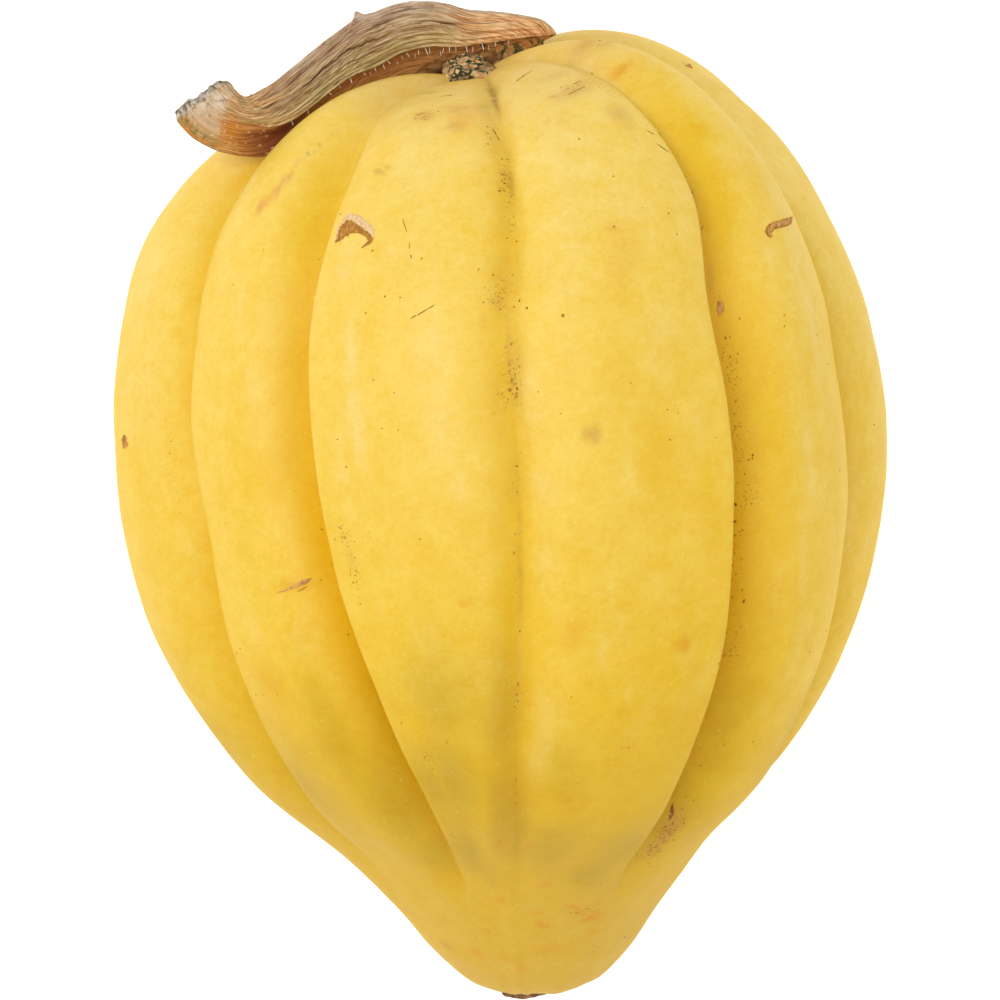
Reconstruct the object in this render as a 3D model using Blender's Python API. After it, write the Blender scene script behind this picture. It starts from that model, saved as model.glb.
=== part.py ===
"""Golden acorn squash with its dried stem, lying on its side as picked.

Three pieces: the ribbed fruit (one solid), the dried stem that is bent over
across the crown, and the dry flower scar on the pointed blossom end.
Units are metres, +Z is up.  The fruit lies along +Y with the crown and stem at
the +Y end, on two ground spots either side of its lowest groove.  The origin
is under the middle of the whole object, on the surface it rests on.
"""
import bpy
import bmesh
import numpy as np
from math import radians, sin, cos, pi, tau
from mathutils import Vector, Matrix

for old in list(bpy.data.objects):
    bpy.data.objects.remove(old, do_unlink=True)

MM = 0.001

# ------------------------------------------------------------------ dimensions
# All lengths in millimetres, all angles in degrees.
# The fruit is drawn on its own axis: r is the distance from the axis and
# a the height along it, with the crown (stem end) at +a.
RIBS = 10

# meridian of an average rib crest, from the crown pit round to the blossom tip
MERIDIAN = [(0, 51), (6.5, 52.5), (13, 53), (22, 52), (30, 49.5), (40.5, 43),
            (49.5, 33), (55.5, 18.5), (58, 0), (57, -16.5), (51, -37.5),
            (41.3, -54), (28.3, -67), (22.2, -74.3), (19.4, -78), (16.2, -82.7),
            (13.3, -86), (11.2, -88), (8.2, -89.5), (4.5, -90.3), (0, -90.5)]

# where each of the ten grooves runs, measured round the axis from straight up
GROOVE_STATIONS = [0.0, 0.25, 0.50, 0.72, 0.90]      # share of the meridian
GROOVE_AT_CROWN = [-102, -68, -34, 3, 39.5, 69, 101, 142, 180, 218]
GROOVE_AT_BELLY = [-101, -63, -30, 0, 36, 69, 101, 142, 180, 218]
GROOVE_AT_WAIST = [-99, -60, -22, -3, 31, 73, 106, 142, 180, 218]
GROOVE_AT_NECK = [-101, -56, -22, -6, 27, 70, 108, 142, 180, 218]

# how deep each groove is: deep and shallow ones take turns
DEPTH_UPPER = [6.5, 7, 5.5, 3, 6, 6.5, 4, 7, 6, 7]
DEPTH_LOWER = [6, 7, 9, 3, 8.5, 7, 5, 7, 6, 7]
DEPTH_STATIONS = [0, 0.07, 0.20, 0.42, 0.60, 0.70, 0.77, 0.84, 1.0]
DEPTH_NEAR_PIT, DEPTH_ON_CROWN, DEPTH_AT_WAIST, DEPTH_AT_NECK = 0.3, 0.6, 0.75, 0.3
# how narrow each groove is: a higher number is a narrower groove
GROOVE_NARROW = [2.2, 2.2, 2.2, 4.0, 2.2, 2.0, 2.2, 2.4, 2.2, 2.4]

# fullness of each rib (rib n lies between groove n and groove n + 1)
FULL_UPPER = [1.04, 0.96, 1.01, 1.03, 1.01, 0.99, 1.05, 1.00, 1.00, 1.01]
FULL_LOWER = [1.04, 1.00, 1.01, 1.02, 0.98, 0.98, 1.03, 1.00, 1.00, 0.98]
CROWN_RISE = [-1.5, 0.6, -1, 2, 5.5, -3.5, 5, 4, 0, -1]   # rib shoulder height

GROOVE_EASE = 0.12          # how softly the two flanks meet in a groove
WALL_AFTER = [0, 0.35, 0.60, 0, 0, 0, 0, 0, 0, 0]       # share of the fall that is a steep wall,
WALL_BEFORE = [0, 0, 0, 0, 0.60, 0.35, 0, 0, 0, 0]      # after and before each groove
WALL_WIDTH = 0.16           # width of that wall, share of the half rib
AXIS_LEAN = 10.0            # crown end raised by this when it lies at rest
GROUND_SPOT = 0.5           # depth of the flats where it lay on the ground
GAP = 0.3                   # between the fruit and the pieces grown on it

# dried stem: middle line of the bent limb in the resting position, relative to
# the middle of the fruit's axis (x right, y to the crown, z up), and half width
LIMB = [(9.6, 56.6, 10.0, 0.7), (7.1, 57.3, 10.0, 2.2), (2.6, 57.5, 10.0, 3.6),
        (-2.7, 57.5, 9.5, 4.4), (-7.2, 57.5, 9.0, 4.9), (-12.5, 57.3, 10.0, 4.9),
        (-17.8, 56.2, 12.5, 4.6), (-23.3, 53.4, 15.8, 4.1), (-28.7, 50.2, 19.2, 3.7),
        (-33.8, 46.0, 22.0, 3.9), (-38.2, 44.2, 22.8, 4.6), (-41.6, 45.6, 22.4, 4.7),
        (-42.6, 48.6, 21.6, 4.6)]
LIMB_SIDES = 16
LIMB_RIDGES = 5
LIMB_RIDGE_HEIGHT = 0.10    # share of the half width
FOOT_RISE = 5.5             # height of the corky foot where the stem joins the crown

SCAR_RADIUS = 3.6           # dry flower scar on the blossom tip
SCAR_THICK = 0.9

RIB_STEPS = [0.0, 0.05, 0.15, 0.30, 0.50, 0.70, 0.85, 0.95]
RINGS = 42


# ------------------------------------------------------------------ curves
def smooth(x, xs, ys):
    """Smooth curve through stations xs with values ys (cubic, no overshoot at the ends)."""
    x = np.asarray(x, float)
    xs = np.asarray(xs, float)
    ys = np.asarray(ys, float)
    shape = (-1,) + (1,) * (ys.ndim - 1)
    h = np.diff(xs)
    slope = np.diff(ys, axis=0) / h.reshape(shape)
    m = np.empty_like(ys)
    m[0], m[-1] = slope[0], slope[-1]
    m[1:-1] = ((slope[:-1] * h[1:].reshape(shape) + slope[1:] * h[:-1].reshape(shape))
               / (h[1:] + h[:-1]).reshape(shape))
    xc = np.clip(x, xs[0], xs[-1])
    k = np.clip(np.searchsorted(xs, xc, side='right') - 1, 0, len(xs) - 2)
    hk = h[k]
    t = (xc - xs[k]) / hk
    if ys.ndim > 1:
        t, hk = t[..., None], hk[..., None]
    return ((2 * t**3 - 3 * t**2 + 1) * ys[k] + (t**3 - 2 * t**2 + t) * hk * m[k]
            + (-2 * t**3 + 3 * t**2) * ys[k + 1] + (t**3 - t**2) * hk * m[k + 1])


def around(u, vals, turn=0.0):
    """Smooth closed curve: vals[:, i] at u = i, one lap every RIBS (plus turn per lap)."""
    i = np.floor(u).astype(int)
    t = u - i

    def at(j):
        return vals[:, j % RIBS] + turn * (j // RIBS)
    a, b, c, d = at(i - 1), at(i), at(i + 1), at(i + 2)
    return 0.5 * (2 * b + (c - a) * t + (2 * a - 5 * b + 4 * c - d) * t**2
                  + (3 * b - a - 3 * c + d) * t**3)


def flank(t, narrow):
    """How far the rib's side has fallen: 1 in the groove (t = 0), 0 on the crest (t = 1)."""
    e = GROOVE_EASE
    t = np.clip(t, 0, 1)
    t = (np.sqrt(t * t + e * e) - e * (1 - t)) / np.sqrt(1 + e * e)
    return (1 - np.clip(t, 0, 1))**narrow


def wall(t):
    """Steep side of a rib: it falls within the first part of the way to the crest."""
    t = np.clip(t / WALL_WIDTH, 0, 1)
    return (1 - t) * (1 - t) * (1 + 1.2 * t)


def skin(u, s):
    """Fruit surface in mm on its own axis, as rows along s and columns round u."""
    meridian = np.array(MERIDIAN, float)
    length = np.concatenate([[0], np.cumsum(np.hypot(*np.diff(meridian, axis=0).T))])
    length /= length[-1]
    ra = smooth(s, length, meridian)
    step = 1e-4
    d = smooth(np.clip(s + step, 0, 1), length, meridian) - smooth(np.clip(s - step, 0, 1), length, meridian)
    d /= np.maximum(np.hypot(d[:, 0], d[:, 1]), 1e-12)[:, None]
    out_r, out_a = -d[:, 1], d[:, 0]                       # outward across the meridian

    grooves = np.array([GROOVE_AT_CROWN, GROOVE_AT_BELLY, GROOVE_AT_BELLY,
                        GROOVE_AT_WAIST, GROOVE_AT_NECK], float)
    grooves[1] = GROOVE_AT_CROWN
    psi = np.radians(around(u, smooth(s, GROOVE_STATIONS, grooves), 360.0))

    ones = np.ones(RIBS)
    full = np.array([ones, FULL_UPPER, FULL_UPPER, FULL_LOWER, ones])
    full = around(u - 0.5, smooth(s, [0, 0.12, 0.42, 0.78, 1.0], full))
    rise = around(u - 0.5, np.array([CROWN_RISE], float))
    rise = rise * smooth(s, [0, 0.12, 0.3, 0.5, 1], [0.3, 1, 0.7, 0, 0])[:, None]

    up, low = np.array(DEPTH_UPPER, float), np.array(DEPTH_LOWER, float)
    depth = smooth(s, DEPTH_STATIONS, np.array([0 * up, up * DEPTH_NEAR_PIT, up * DEPTH_ON_CROWN,
                                                (up + low) / 2, low, low * DEPTH_AT_WAIST,
                                                                low * DEPTH_AT_NECK, 0 * low, 0 * low]))
    depth = np.maximum(depth, 0)
    j = np.floor(u).astype(int)
    f = u - j
    narrow = np.array(GROOVE_NARROW)
    near, far = flank(2 * f, narrow[j % RIBS]), flank(2 * (1 - f), narrow[(j + 1) % RIBS])
    after, before = np.array(WALL_AFTER)[j % RIBS], np.array(WALL_BEFORE)[(j + 1) % RIBS]
    steep = smooth(s, [0, 0.12, 0.24, 1], [0, 0, 1, 1])[:, None]
    near = near + steep * after * (wall(2 * f) - near)
    far = far + steep * before * (wall(2 * (1 - f)) - far)
    fall = depth[:, j % RIBS] * near + depth[:, (j + 1) % RIBS] * far
    r = ra[:, :1] * full - out_r[:, None] * fall
    a = ra[:, 1:] + rise - out_a[:, None] * fall
    bend = smooth(a, [-90, -45, 0, 60], [0, 0.5, 0, -1.5])   # the axis is not quite straight
    return np.stack([r * np.sin(psi) + bend, a, r * np.cos(psi)], -1)


def lay_down(p):
    """Tip the upright axis so the crown end is raised by AXIS_LEAN."""
    c, k = cos(radians(AXIS_LEAN)), sin(radians(AXIS_LEAN))
    x, y, z = p[..., 0], p[..., 1], p[..., 2]
    return np.stack([x, y * c - z * k, y * k + z * c], -1)


# ------------------------------------------------------------------ helpers
def new_object(name, verts, faces, colour, roughness):
    mesh = bpy.data.meshes.new(name)
    mesh.from_pydata([tuple(v) for v in verts], [], faces)
    mesh.update()
    obj = bpy.data.objects.new(name, mesh)
    bpy.context.scene.collection.objects.link(obj)
    mat = bpy.data.materials.new(name + "_material")
    mat.use_nodes = True
    bsdf = mat.node_tree.nodes["Principled BSDF"]
    bsdf.inputs["Base Color"].default_value = (*colour, 1.0)
    bsdf.inputs["Roughness"].default_value = roughness
    bsdf.inputs["Metallic"].default_value = 0.0
    mesh.materials.append(mat)
    return obj


def edit(obj, work):
    bm = bmesh.new()
    bm.from_mesh(obj.data)
    work(bm)
    bmesh.ops.recalc_face_normals(bm, faces=bm.faces)
    bm.to_mesh(obj.data)
    bm.free()
    obj.data.update()


def rings_to_mesh(rings, first=None, last=None):
    """Triangles between closed rings; an end is either one pole point or a flat cap."""
    verts, faces = [], []
    n = len(rings[0])
    for ring in rings:
        verts.extend(ring)
    for k in range(len(rings) - 1):
        for i in range(n):
            j = (i + 1) % n
            faces.append((k * n + i, k * n + j, (k + 1) * n + j))
            faces.append((k * n + i, (k + 1) * n + j, (k + 1) * n + i))
    for end, k, flip in ((first, 0, True), (last, len(rings) - 1, False)):
        idx = [k * n + i for i in range(n)]
        if end is None:
            faces.append(tuple(idx[::-1] if flip else idx))
        else:
            verts.append(end)
            p = len(verts) - 1
            for i in range(n):
                a, b = idx[i], idx[(i + 1) % n]
                faces.append((p, b, a) if flip else (p, a, b))
    return verts, faces


# ------------------------------------------------------------------ fruit
rib_u = np.array([n + f for n in range(RIBS) for f in RIB_STEPS])
ring_s = 0.5 - 0.5 * np.cos(np.pi * np.linspace(0, 1, RINGS + 2))
ring_s = (0.55 * np.linspace(0, 1, RINGS + 2) + 0.45 * ring_s)[1:-1]
surface = lay_down(skin(rib_u, ring_s))
pit = lay_down(skin(np.array([0.0]), np.array([0.0])))[0, 0]
tip = lay_down(skin(np.array([0.0]), np.array([1.0])))[0, 0]
floor_z = surface[..., 2].min() + GROUND_SPOT              # the surface it rests on
verts, faces = rings_to_mesh([list(ring) for ring in surface], first=pit, last=tip)
fruit = new_object("fruit", [v * MM for v in np.array(verts)], faces, (0.78, 0.53, 0.09), 0.42)


def ground_spots(bm):
    """Slice off the lowest skin so the fruit stands on flats, and close them."""
    geom = bm.verts[:] + bm.edges[:] + bm.faces[:]
    cut = bmesh.ops.bisect_plane(bm, geom=geom, dist=1e-7, plane_co=(0, 0, floor_z * MM),
                                 plane_no=(0, 0, -1), clear_outer=True)
    rim = [e for e in cut["geom_cut"] if isinstance(e, bmesh.types.BMEdge)]
    bmesh.ops.holes_fill(bm, edges=rim, sides=0)


edit(fruit, ground_spots)

# ------------------------------------------------------------------ stem
limb = np.array(LIMB, float)
along = np.concatenate([[0], np.cumsum(np.linalg.norm(np.diff(limb[:, :3], axis=0), axis=1))])
stations = np.linspace(0, along[-1], 25)
line = smooth(stations, along, limb)
centre, half = line[:, :3], line[:, 3]
tangent = np.gradient(centre, axis=0)
tangent /= np.linalg.norm(tangent, axis=1)[:, None]
rings = []
for c, h, t in zip(centre, half, tangent):
    side = np.cross(t, (0.0, 0.35, 1.0))
    side /= np.linalg.norm(side)
    up = np.cross(side, t)
    ring = []
    for i in range(LIMB_SIDES):
        a = tau * i / LIMB_SIDES
        w = h * (1 + LIMB_RIDGE_HEIGHT * (cos(LIMB_RIDGES * a) - 1) / 2)
        ring.append(c + w * (cos(a) * side + sin(a) * up))
    rings.append(ring)
verts, faces = rings_to_mesh(rings)
stem = new_object("stem", [v * MM for v in np.array(verts)], faces, (0.36, 0.24, 0.13), 0.85)
edit(stem, lambda bm: None)

foot_skin = skin(rib_u, ring_s[:3]) + np.array([0.0, GAP, 0.0])
foot_rings = list(foot_skin)                              # the foot spreads over the pit
rim = foot_skin[2]
for climb, share in ((0.15, 1.0), (0.40, 0.84), (0.72, 0.64), (1.0, 0.50)):
    ring = rim * np.array([share, 1.0, share])
    ring[:, 1] = rim[:, 1] + climb * (52.5 + FOOT_RISE - rim[:, 1])
    foot_rings.append(ring)
foot_rings = lay_down(np.array(foot_rings))
foot_pole = lay_down(skin(np.array([0.0]), np.array([0.0]))[0, 0] + np.array([0.0, GAP, 0.0]))
verts, faces = rings_to_mesh([list(r) for r in foot_rings], first=foot_pole)
foot = new_object("stem_foot_union", [v * MM for v in np.array(verts)], faces, (0.3, 0.25, 0.12), 0.9)
edit(foot, lambda bm: None)
foot.display_type = 'WIRE'
foot.hide_render = True
join = stem.modifiers.new("foot", 'BOOLEAN')
join.operation = 'UNION'
join.object = foot
join.solver = 'EXACT'

# ------------------------------------------------------------------ blossom scar
scar_rings = []
for h, share in ((0.0, 0.85), (0.3, 1.0), (0.65, 0.95), (SCAR_THICK, 0.7)):
    ring = []
    for i in range(24):
        a = tau * i / 24
        w = SCAR_RADIUS * share * (1 + 0.04 * cos(5 * a) + 0.03 * sin(3 * a))
        ring.append((w * sin(a), MERIDIAN[-1][1] - GAP - h, w * cos(a)))
    scar_rings.append(ring)
scar_rings = lay_down(np.array(scar_rings))
verts, faces = rings_to_mesh([list(r) for r in scar_rings])
scar = new_object("blossom_scar", [v * MM for v in np.array(verts)], faces, (0.16, 0.09, 0.04), 0.9)
edit(scar, lambda bm: None)

# ------------------------------------------------------------------ placing
# The origin goes under the middle of the whole object's box, on the resting surface.
depsgraph = bpy.context.evaluated_depsgraph_get()
points = []
for obj in (fruit, stem, scar):
    shape = obj.evaluated_get(depsgraph).to_mesh()
    points.extend(v.co.copy() for v in shape.vertices)
lo = [min(p[i] for p in points) for i in range(3)]
hi = [max(p[i] for p in points) for i in range(3)]
shift = Matrix.Translation((-(lo[0] + hi[0]) / 2, -(lo[1] + hi[1]) / 2, -floor_z * MM))
for obj in (fruit, stem, foot, scar):
    obj.data.transform(shift)
    obj.data.shade_smooth()
    obj.data.set_sharp_from_angle(angle=radians(50))
    obj.data.update()
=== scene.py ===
"""Looks of the golden acorn squash: rind, dried stem, flower scar, floor, light and camera."""

from math import radians, sin, cos, pi, tau

import bpy
import numpy as np
from mathutils import Vector, Matrix

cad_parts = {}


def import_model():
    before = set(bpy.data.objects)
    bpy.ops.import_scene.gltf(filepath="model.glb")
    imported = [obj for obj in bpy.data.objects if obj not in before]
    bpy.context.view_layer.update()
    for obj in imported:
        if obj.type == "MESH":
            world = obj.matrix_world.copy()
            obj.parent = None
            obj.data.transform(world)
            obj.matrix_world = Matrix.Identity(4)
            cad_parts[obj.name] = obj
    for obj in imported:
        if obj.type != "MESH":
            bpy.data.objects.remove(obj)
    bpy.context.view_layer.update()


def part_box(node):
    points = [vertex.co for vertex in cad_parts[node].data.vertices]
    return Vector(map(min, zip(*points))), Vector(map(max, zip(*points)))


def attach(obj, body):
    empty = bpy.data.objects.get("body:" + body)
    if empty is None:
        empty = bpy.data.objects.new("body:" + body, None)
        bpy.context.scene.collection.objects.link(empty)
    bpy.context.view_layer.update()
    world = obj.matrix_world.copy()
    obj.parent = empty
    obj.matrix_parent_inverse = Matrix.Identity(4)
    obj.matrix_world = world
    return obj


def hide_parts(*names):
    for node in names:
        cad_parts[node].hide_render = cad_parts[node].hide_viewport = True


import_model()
MM = 0.001

# =====================================================================================
# Shape of the fruit.  The same rule as the CAD solid, in mm on the fruit's own axis:
# u counts ribs round the axis (a whole number is a groove), s runs from the crown pit
# (0) to the blossom tip (1).
# =====================================================================================
RIBS = 10
MERIDIAN = [(0, 51), (6.5, 52.5), (13, 53), (22, 52), (30, 49.5), (40.5, 43),
            (49.5, 33), (55.5, 18.5), (58, 0), (57, -16.5), (51, -37.5),
            (41.3, -54), (28.3, -67), (22.2, -74.3), (19.4, -78), (16.2, -82.7),
            (13.3, -86), (11.2, -88), (8.2, -89.5), (4.5, -90.3), (0, -90.5)]
GROOVE_STATIONS = [0.0, 0.25, 0.50, 0.72, 0.90]
GROOVE_AT_CROWN = [-102, -68, -34, 3, 39.5, 69, 101, 142, 180, 218]
GROOVE_AT_BELLY = [-101, -63, -30, 0, 36, 69, 101, 142, 180, 218]
GROOVE_AT_WAIST = [-99, -60, -22, -3, 31, 73, 106, 142, 180, 218]
GROOVE_AT_NECK = [-101, -56, -22, -6, 27, 70, 108, 142, 180, 218]
DEPTH_UPPER = [6.5, 7, 5.5, 3, 6, 6.5, 4, 7, 6, 7]
DEPTH_LOWER = [6, 7, 9, 3, 8.5, 7, 5, 7, 6, 7]
DEPTH_STATIONS = [0, 0.07, 0.20, 0.42, 0.60, 0.70, 0.77, 0.84, 1.0]
DEPTH_NEAR_PIT, DEPTH_ON_CROWN, DEPTH_AT_WAIST, DEPTH_AT_NECK = 0.3, 0.6, 0.75, 0.3
GROOVE_NARROW = [2.2, 2.2, 2.2, 4.0, 2.2, 2.0, 2.2, 2.4, 2.2, 2.4]
FULL_UPPER = [1.04, 0.96, 1.01, 1.03, 1.01, 0.99, 1.05, 1.00, 1.00, 1.01]
FULL_LOWER = [1.04, 1.00, 1.01, 1.02, 0.98, 0.98, 1.03, 1.00, 1.00, 0.98]
CROWN_RISE = [-1.5, 0.6, -1, 2, 5.5, -3.5, 5, 4, 0, -1]
GROOVE_EASE = 0.12
WALL_AFTER = [0, 0.35, 0.60, 0, 0, 0, 0, 0, 0, 0]
WALL_BEFORE = [0, 0, 0, 0, 0.60, 0.35, 0, 0, 0, 0]
WALL_WIDTH = 0.16
AXIS_LEAN = 10.0
GROUND_SPOT = 0.5
# how grooves 1 to 6 stray from their course, in degrees
WANDER_STATIONS = [0.0, 0.10, 0.18, 0.26, 0.34, 0.42, 0.50, 0.58, 0.66, 0.74, 0.84, 1.0]
WANDER = [(0, -2, 0, 0, 0, 0), (-0.5, -7, 0.5, 1.5, 1, 2), (-0.5, -0.5, 1, 0, 1.5, 6), (3.5, 0.8, 0.5, -0.8, 0, 7),
          (6.5, 0, -1, -3.6, -1.5, 3), (5.8, 0, 0, -2.5, -3, 0), (7, 0.5, 0.5, -1.3, -3, 0), (4.6, 0.3, 0.5, 0, -2, 0),
          (2.8, -0.3, 0, 0, -0.5, 0), (1.8, 0, 0, 0, 0, 0), (1, -2, 0, 0, -1, 0), (0, -2, 0, 0, 0, 0)]
# where a rib is fuller than its rule: (u, s, spread in u, spread in s, mm)
SWELL = [(5.75, 0.20, 0.30, 0.07, 3.5), (5.95, 0.165, 0.22, 0.04, 2.2)]
CAD_RIB_STEPS = [0.0, 0.05, 0.15, 0.30, 0.50, 0.70, 0.85, 0.95]
CAD_RINGS = 42


def smooth(x, xs, ys):
    """Smooth curve through stations xs with values ys."""
    x = np.asarray(x, float)
    xs = np.asarray(xs, float)
    ys = np.asarray(ys, float)
    shape = (-1,) + (1,) * (ys.ndim - 1)
    h = np.diff(xs)
    slope = np.diff(ys, axis=0) / h.reshape(shape)
    m = np.empty_like(ys)
    m[0], m[-1] = slope[0], slope[-1]
    m[1:-1] = ((slope[:-1] * h[1:].reshape(shape) + slope[1:] * h[:-1].reshape(shape))
               / (h[1:] + h[:-1]).reshape(shape))
    xc = np.clip(x, xs[0], xs[-1])
    k = np.clip(np.searchsorted(xs, xc, side='right') - 1, 0, len(xs) - 2)
    hk = h[k]
    t = (xc - xs[k]) / hk
    if ys.ndim > 1:
        t, hk = t[..., None], hk[..., None]
    return ((2 * t**3 - 3 * t**2 + 1) * ys[k] + (t**3 - 2 * t**2 + t) * hk * m[k]
            + (-2 * t**3 + 3 * t**2) * ys[k + 1] + (t**3 - t**2) * hk * m[k + 1])


def around(u, vals, turn=0.0):
    """Smooth closed curve through vals[:, i] at u = i."""
    i = np.floor(u).astype(int)
    t = u - i

    def at(j):
        return vals[:, j % RIBS] + turn * (j // RIBS)
    a, b, c, d = at(i - 1), at(i), at(i + 1), at(i + 2)
    return 0.5 * (2 * b + (c - a) * t + (2 * a - 5 * b + 4 * c - d) * t**2
                  + (3 * b - a - 3 * c + d) * t**3)


def flank(t, narrow):
    """How far the rib's side has fallen: 1 in the groove (t = 0), 0 on the crest (t = 1)."""
    e = GROOVE_EASE
    t = np.clip(t, 0, 1)
    t = (np.sqrt(t * t + e * e) - e * (1 - t)) / np.sqrt(1 + e * e)
    return (1 - np.clip(t, 0, 1))**narrow


def wall(t):
    """Steep side of a rib: it falls within the first part of the way to the crest."""
    t = np.clip(t / WALL_WIDTH, 0, 1)
    return (1 - t) * (1 - t) * (1 + 1.2 * t)


meridian = np.array(MERIDIAN, float)
length = np.concatenate([[0], np.cumsum(np.hypot(*np.diff(meridian, axis=0).T))])
LENGTH = length[-1]
length = length / LENGTH


def skin(u, s, wander=False):
    """Fruit surface in mm on its own axis, rows along s and columns round u."""
    ra = smooth(s, length, meridian)
    step = 1e-4
    d = smooth(np.clip(s + step, 0, 1), length, meridian) - smooth(np.clip(s - step, 0, 1), length, meridian)
    d /= np.maximum(np.hypot(d[:, 0], d[:, 1]), 1e-12)[:, None]
    out_r, out_a = -d[:, 1], d[:, 0]
    grooves = np.array([GROOVE_AT_CROWN, GROOVE_AT_CROWN, GROOVE_AT_BELLY,
                        GROOVE_AT_WAIST, GROOVE_AT_NECK], float)
    run = smooth(s, GROOVE_STATIONS, grooves)
    if wander:
        run[:, 1:7] += smooth(s, WANDER_STATIONS, np.array(WANDER))
    psi = np.radians(around(u, run, 360.0))
    ones = np.ones(RIBS)
    full = np.array([ones, FULL_UPPER, FULL_UPPER, FULL_LOWER, ones])
    full = around(u - 0.5, smooth(s, [0, 0.12, 0.42, 0.78, 1.0], full))
    rise = around(u - 0.5, np.array([CROWN_RISE], float))
    rise = rise * smooth(s, [0, 0.12, 0.3, 0.5, 1], [0.3, 1, 0.7, 0, 0])[:, None]
    up, low = np.array(DEPTH_UPPER, float), np.array(DEPTH_LOWER, float)
    depth = smooth(s, DEPTH_STATIONS, np.array([0 * up, up * DEPTH_NEAR_PIT, up * DEPTH_ON_CROWN,
                                                (up + low) / 2, low, low * DEPTH_AT_WAIST,
                                                                low * DEPTH_AT_NECK, 0 * low, 0 * low]))
    depth = np.maximum(depth, 0)
    j = np.floor(u).astype(int)
    f = u - j
    narrow = np.array(GROOVE_NARROW, float)
    near, far = flank(2 * f, narrow[j % RIBS]), flank(2 * (1 - f), narrow[(j + 1) % RIBS])
    after, before = np.array(WALL_AFTER)[j % RIBS], np.array(WALL_BEFORE)[(j + 1) % RIBS]
    steep = smooth(s, [0, 0.12, 0.24, 1], [0, 0, 1, 1])[:, None]
    near = near + steep * after * (wall(2 * f) - near)
    far = far + steep * before * (wall(2 * (1 - f)) - far)
    fall = depth[:, j % RIBS] * near + depth[:, (j + 1) % RIBS] * far
    if wander:
        for at_u, at_s, wide, tall, high in SWELL:
            du_ = (u - at_u + RIBS / 2) % RIBS - RIBS / 2
            fall = fall - high * np.exp(-(du_ / wide)**2)[None] * np.exp(-((s - at_s) / tall)**2)[:, None]
    r = ra[:, :1] * full - out_r[:, None] * fall
    a = ra[:, 1:] + rise - out_a[:, None] * fall
    bend = smooth(a, [-90, -45, 0, 60], [0, 0.5, 0, -1.5])
    p = np.stack([r * np.sin(psi) + bend, a, r * np.cos(psi)], -1)
    return p


def lay_down(p):
    c, k = cos(radians(AXIS_LEAN)), sin(radians(AXIS_LEAN))
    x, y, z = p[..., 0], p[..., 1], p[..., 2]
    return np.stack([x, y * c - z * k, y * k + z * c], -1)


# where the axis' middle is, read off the CAD fruit's box
cad_u = np.array([n + f for n in range(RIBS) for f in CAD_RIB_STEPS])
cad_s = 0.5 - 0.5 * np.cos(np.pi * np.linspace(0, 1, CAD_RINGS + 2))
cad_s = (0.55 * np.linspace(0, 1, CAD_RINGS + 2) + 0.45 * cad_s)[1:-1]
coarse = lay_down(skin(cad_u, cad_s)).reshape(-1, 3)
coarse = np.vstack([coarse, lay_down(skin(np.array([0.0]), np.array([0.0, 1.0]))).reshape(-1, 3)])
lo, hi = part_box("fruit")
fruit_lo, fruit_hi = np.array(lo) / MM, np.array(hi) / MM
middle = np.array([(fruit_lo[0] + fruit_hi[0]) / 2 - (coarse[:, 0].min() + coarse[:, 0].max()) / 2,
                   (fruit_lo[1] + fruit_hi[1]) / 2 - (coarse[:, 1].min() + coarse[:, 1].max()) / 2,
                   fruit_hi[2] - coarse[:, 2].max()])
FLOOR = -middle[2]          # height of the floor below the axis' middle, in mm


def world(p):
    """From mm about the axis' middle, lying down, to metres in the shared frame."""
    return (np.asarray(p, float) + middle) * MM


# =====================================================================================
# Helpers
# =====================================================================================
def lattice_noise(shape_uv, cells, seed, wrap_v=False):
    """Smooth value noise on a grid of len(u) x len(v), cells = (cu, cv)."""
    nu, nv = shape_uv
    cu, cv = cells
    rng = np.random.default_rng(seed)
    g = rng.uniform(-1, 1, (cu + 3, cv + (0 if wrap_v else 3)))
    x = np.linspace(0, cu, nu)
    y = np.linspace(0, cv, nv, endpoint=not wrap_v)

    def weights(q, n, wrap):
        i = np.floor(q).astype(int)
        t = q - i
        w = np.stack([(1 - t)**3, 3 * t**3 - 6 * t**2 + 4, -3 * t**3 + 3 * t**2 + 3 * t + 1, t**3], -1) / 6
        idx = np.stack([i, i + 1, i + 2, i + 3], -1)
        return (idx % n if wrap else np.minimum(idx, n - 1)), w
    ix, wx = weights(x, cu + 3, False)
    iy, wy = weights(y, g.shape[1], wrap_v)
    rows = (g[ix] * wx[:, :, None]).sum(1)
    return (rows[:, iy] * wy[None]).sum(-1) * 1.6


def make_mesh(name, verts, quads, smooth_shade=True):
    mesh = bpy.data.meshes.new(name)
    verts = np.asarray(verts, float)
    faces = [tuple(int(i) for i in f) for f in quads]
    mesh.from_pydata(verts.tolist(), [], faces)
    mesh.update()
    mesh.validate()
    if smooth_shade:
        mesh.shade_smooth()
    obj = bpy.data.objects.new(name, mesh)
    bpy.context.scene.collection.objects.link(obj)
    return obj


def grid_faces(rows, cols, closed=True):
    r = np.arange(rows - 1)[:, None]
    c = np.arange(cols if closed else cols - 1)[None]
    n = (c + 1) % cols
    return np.stack([r * cols + c, r * cols + n, (r + 1) * cols + n, (r + 1) * cols + c], -1).reshape(-1, 4)


def add_attribute(obj, name, values):
    at = obj.data.attributes.new(name, 'FLOAT', 'POINT')
    at.data.foreach_set("value", np.ascontiguousarray(values, np.float32).ravel())


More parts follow.
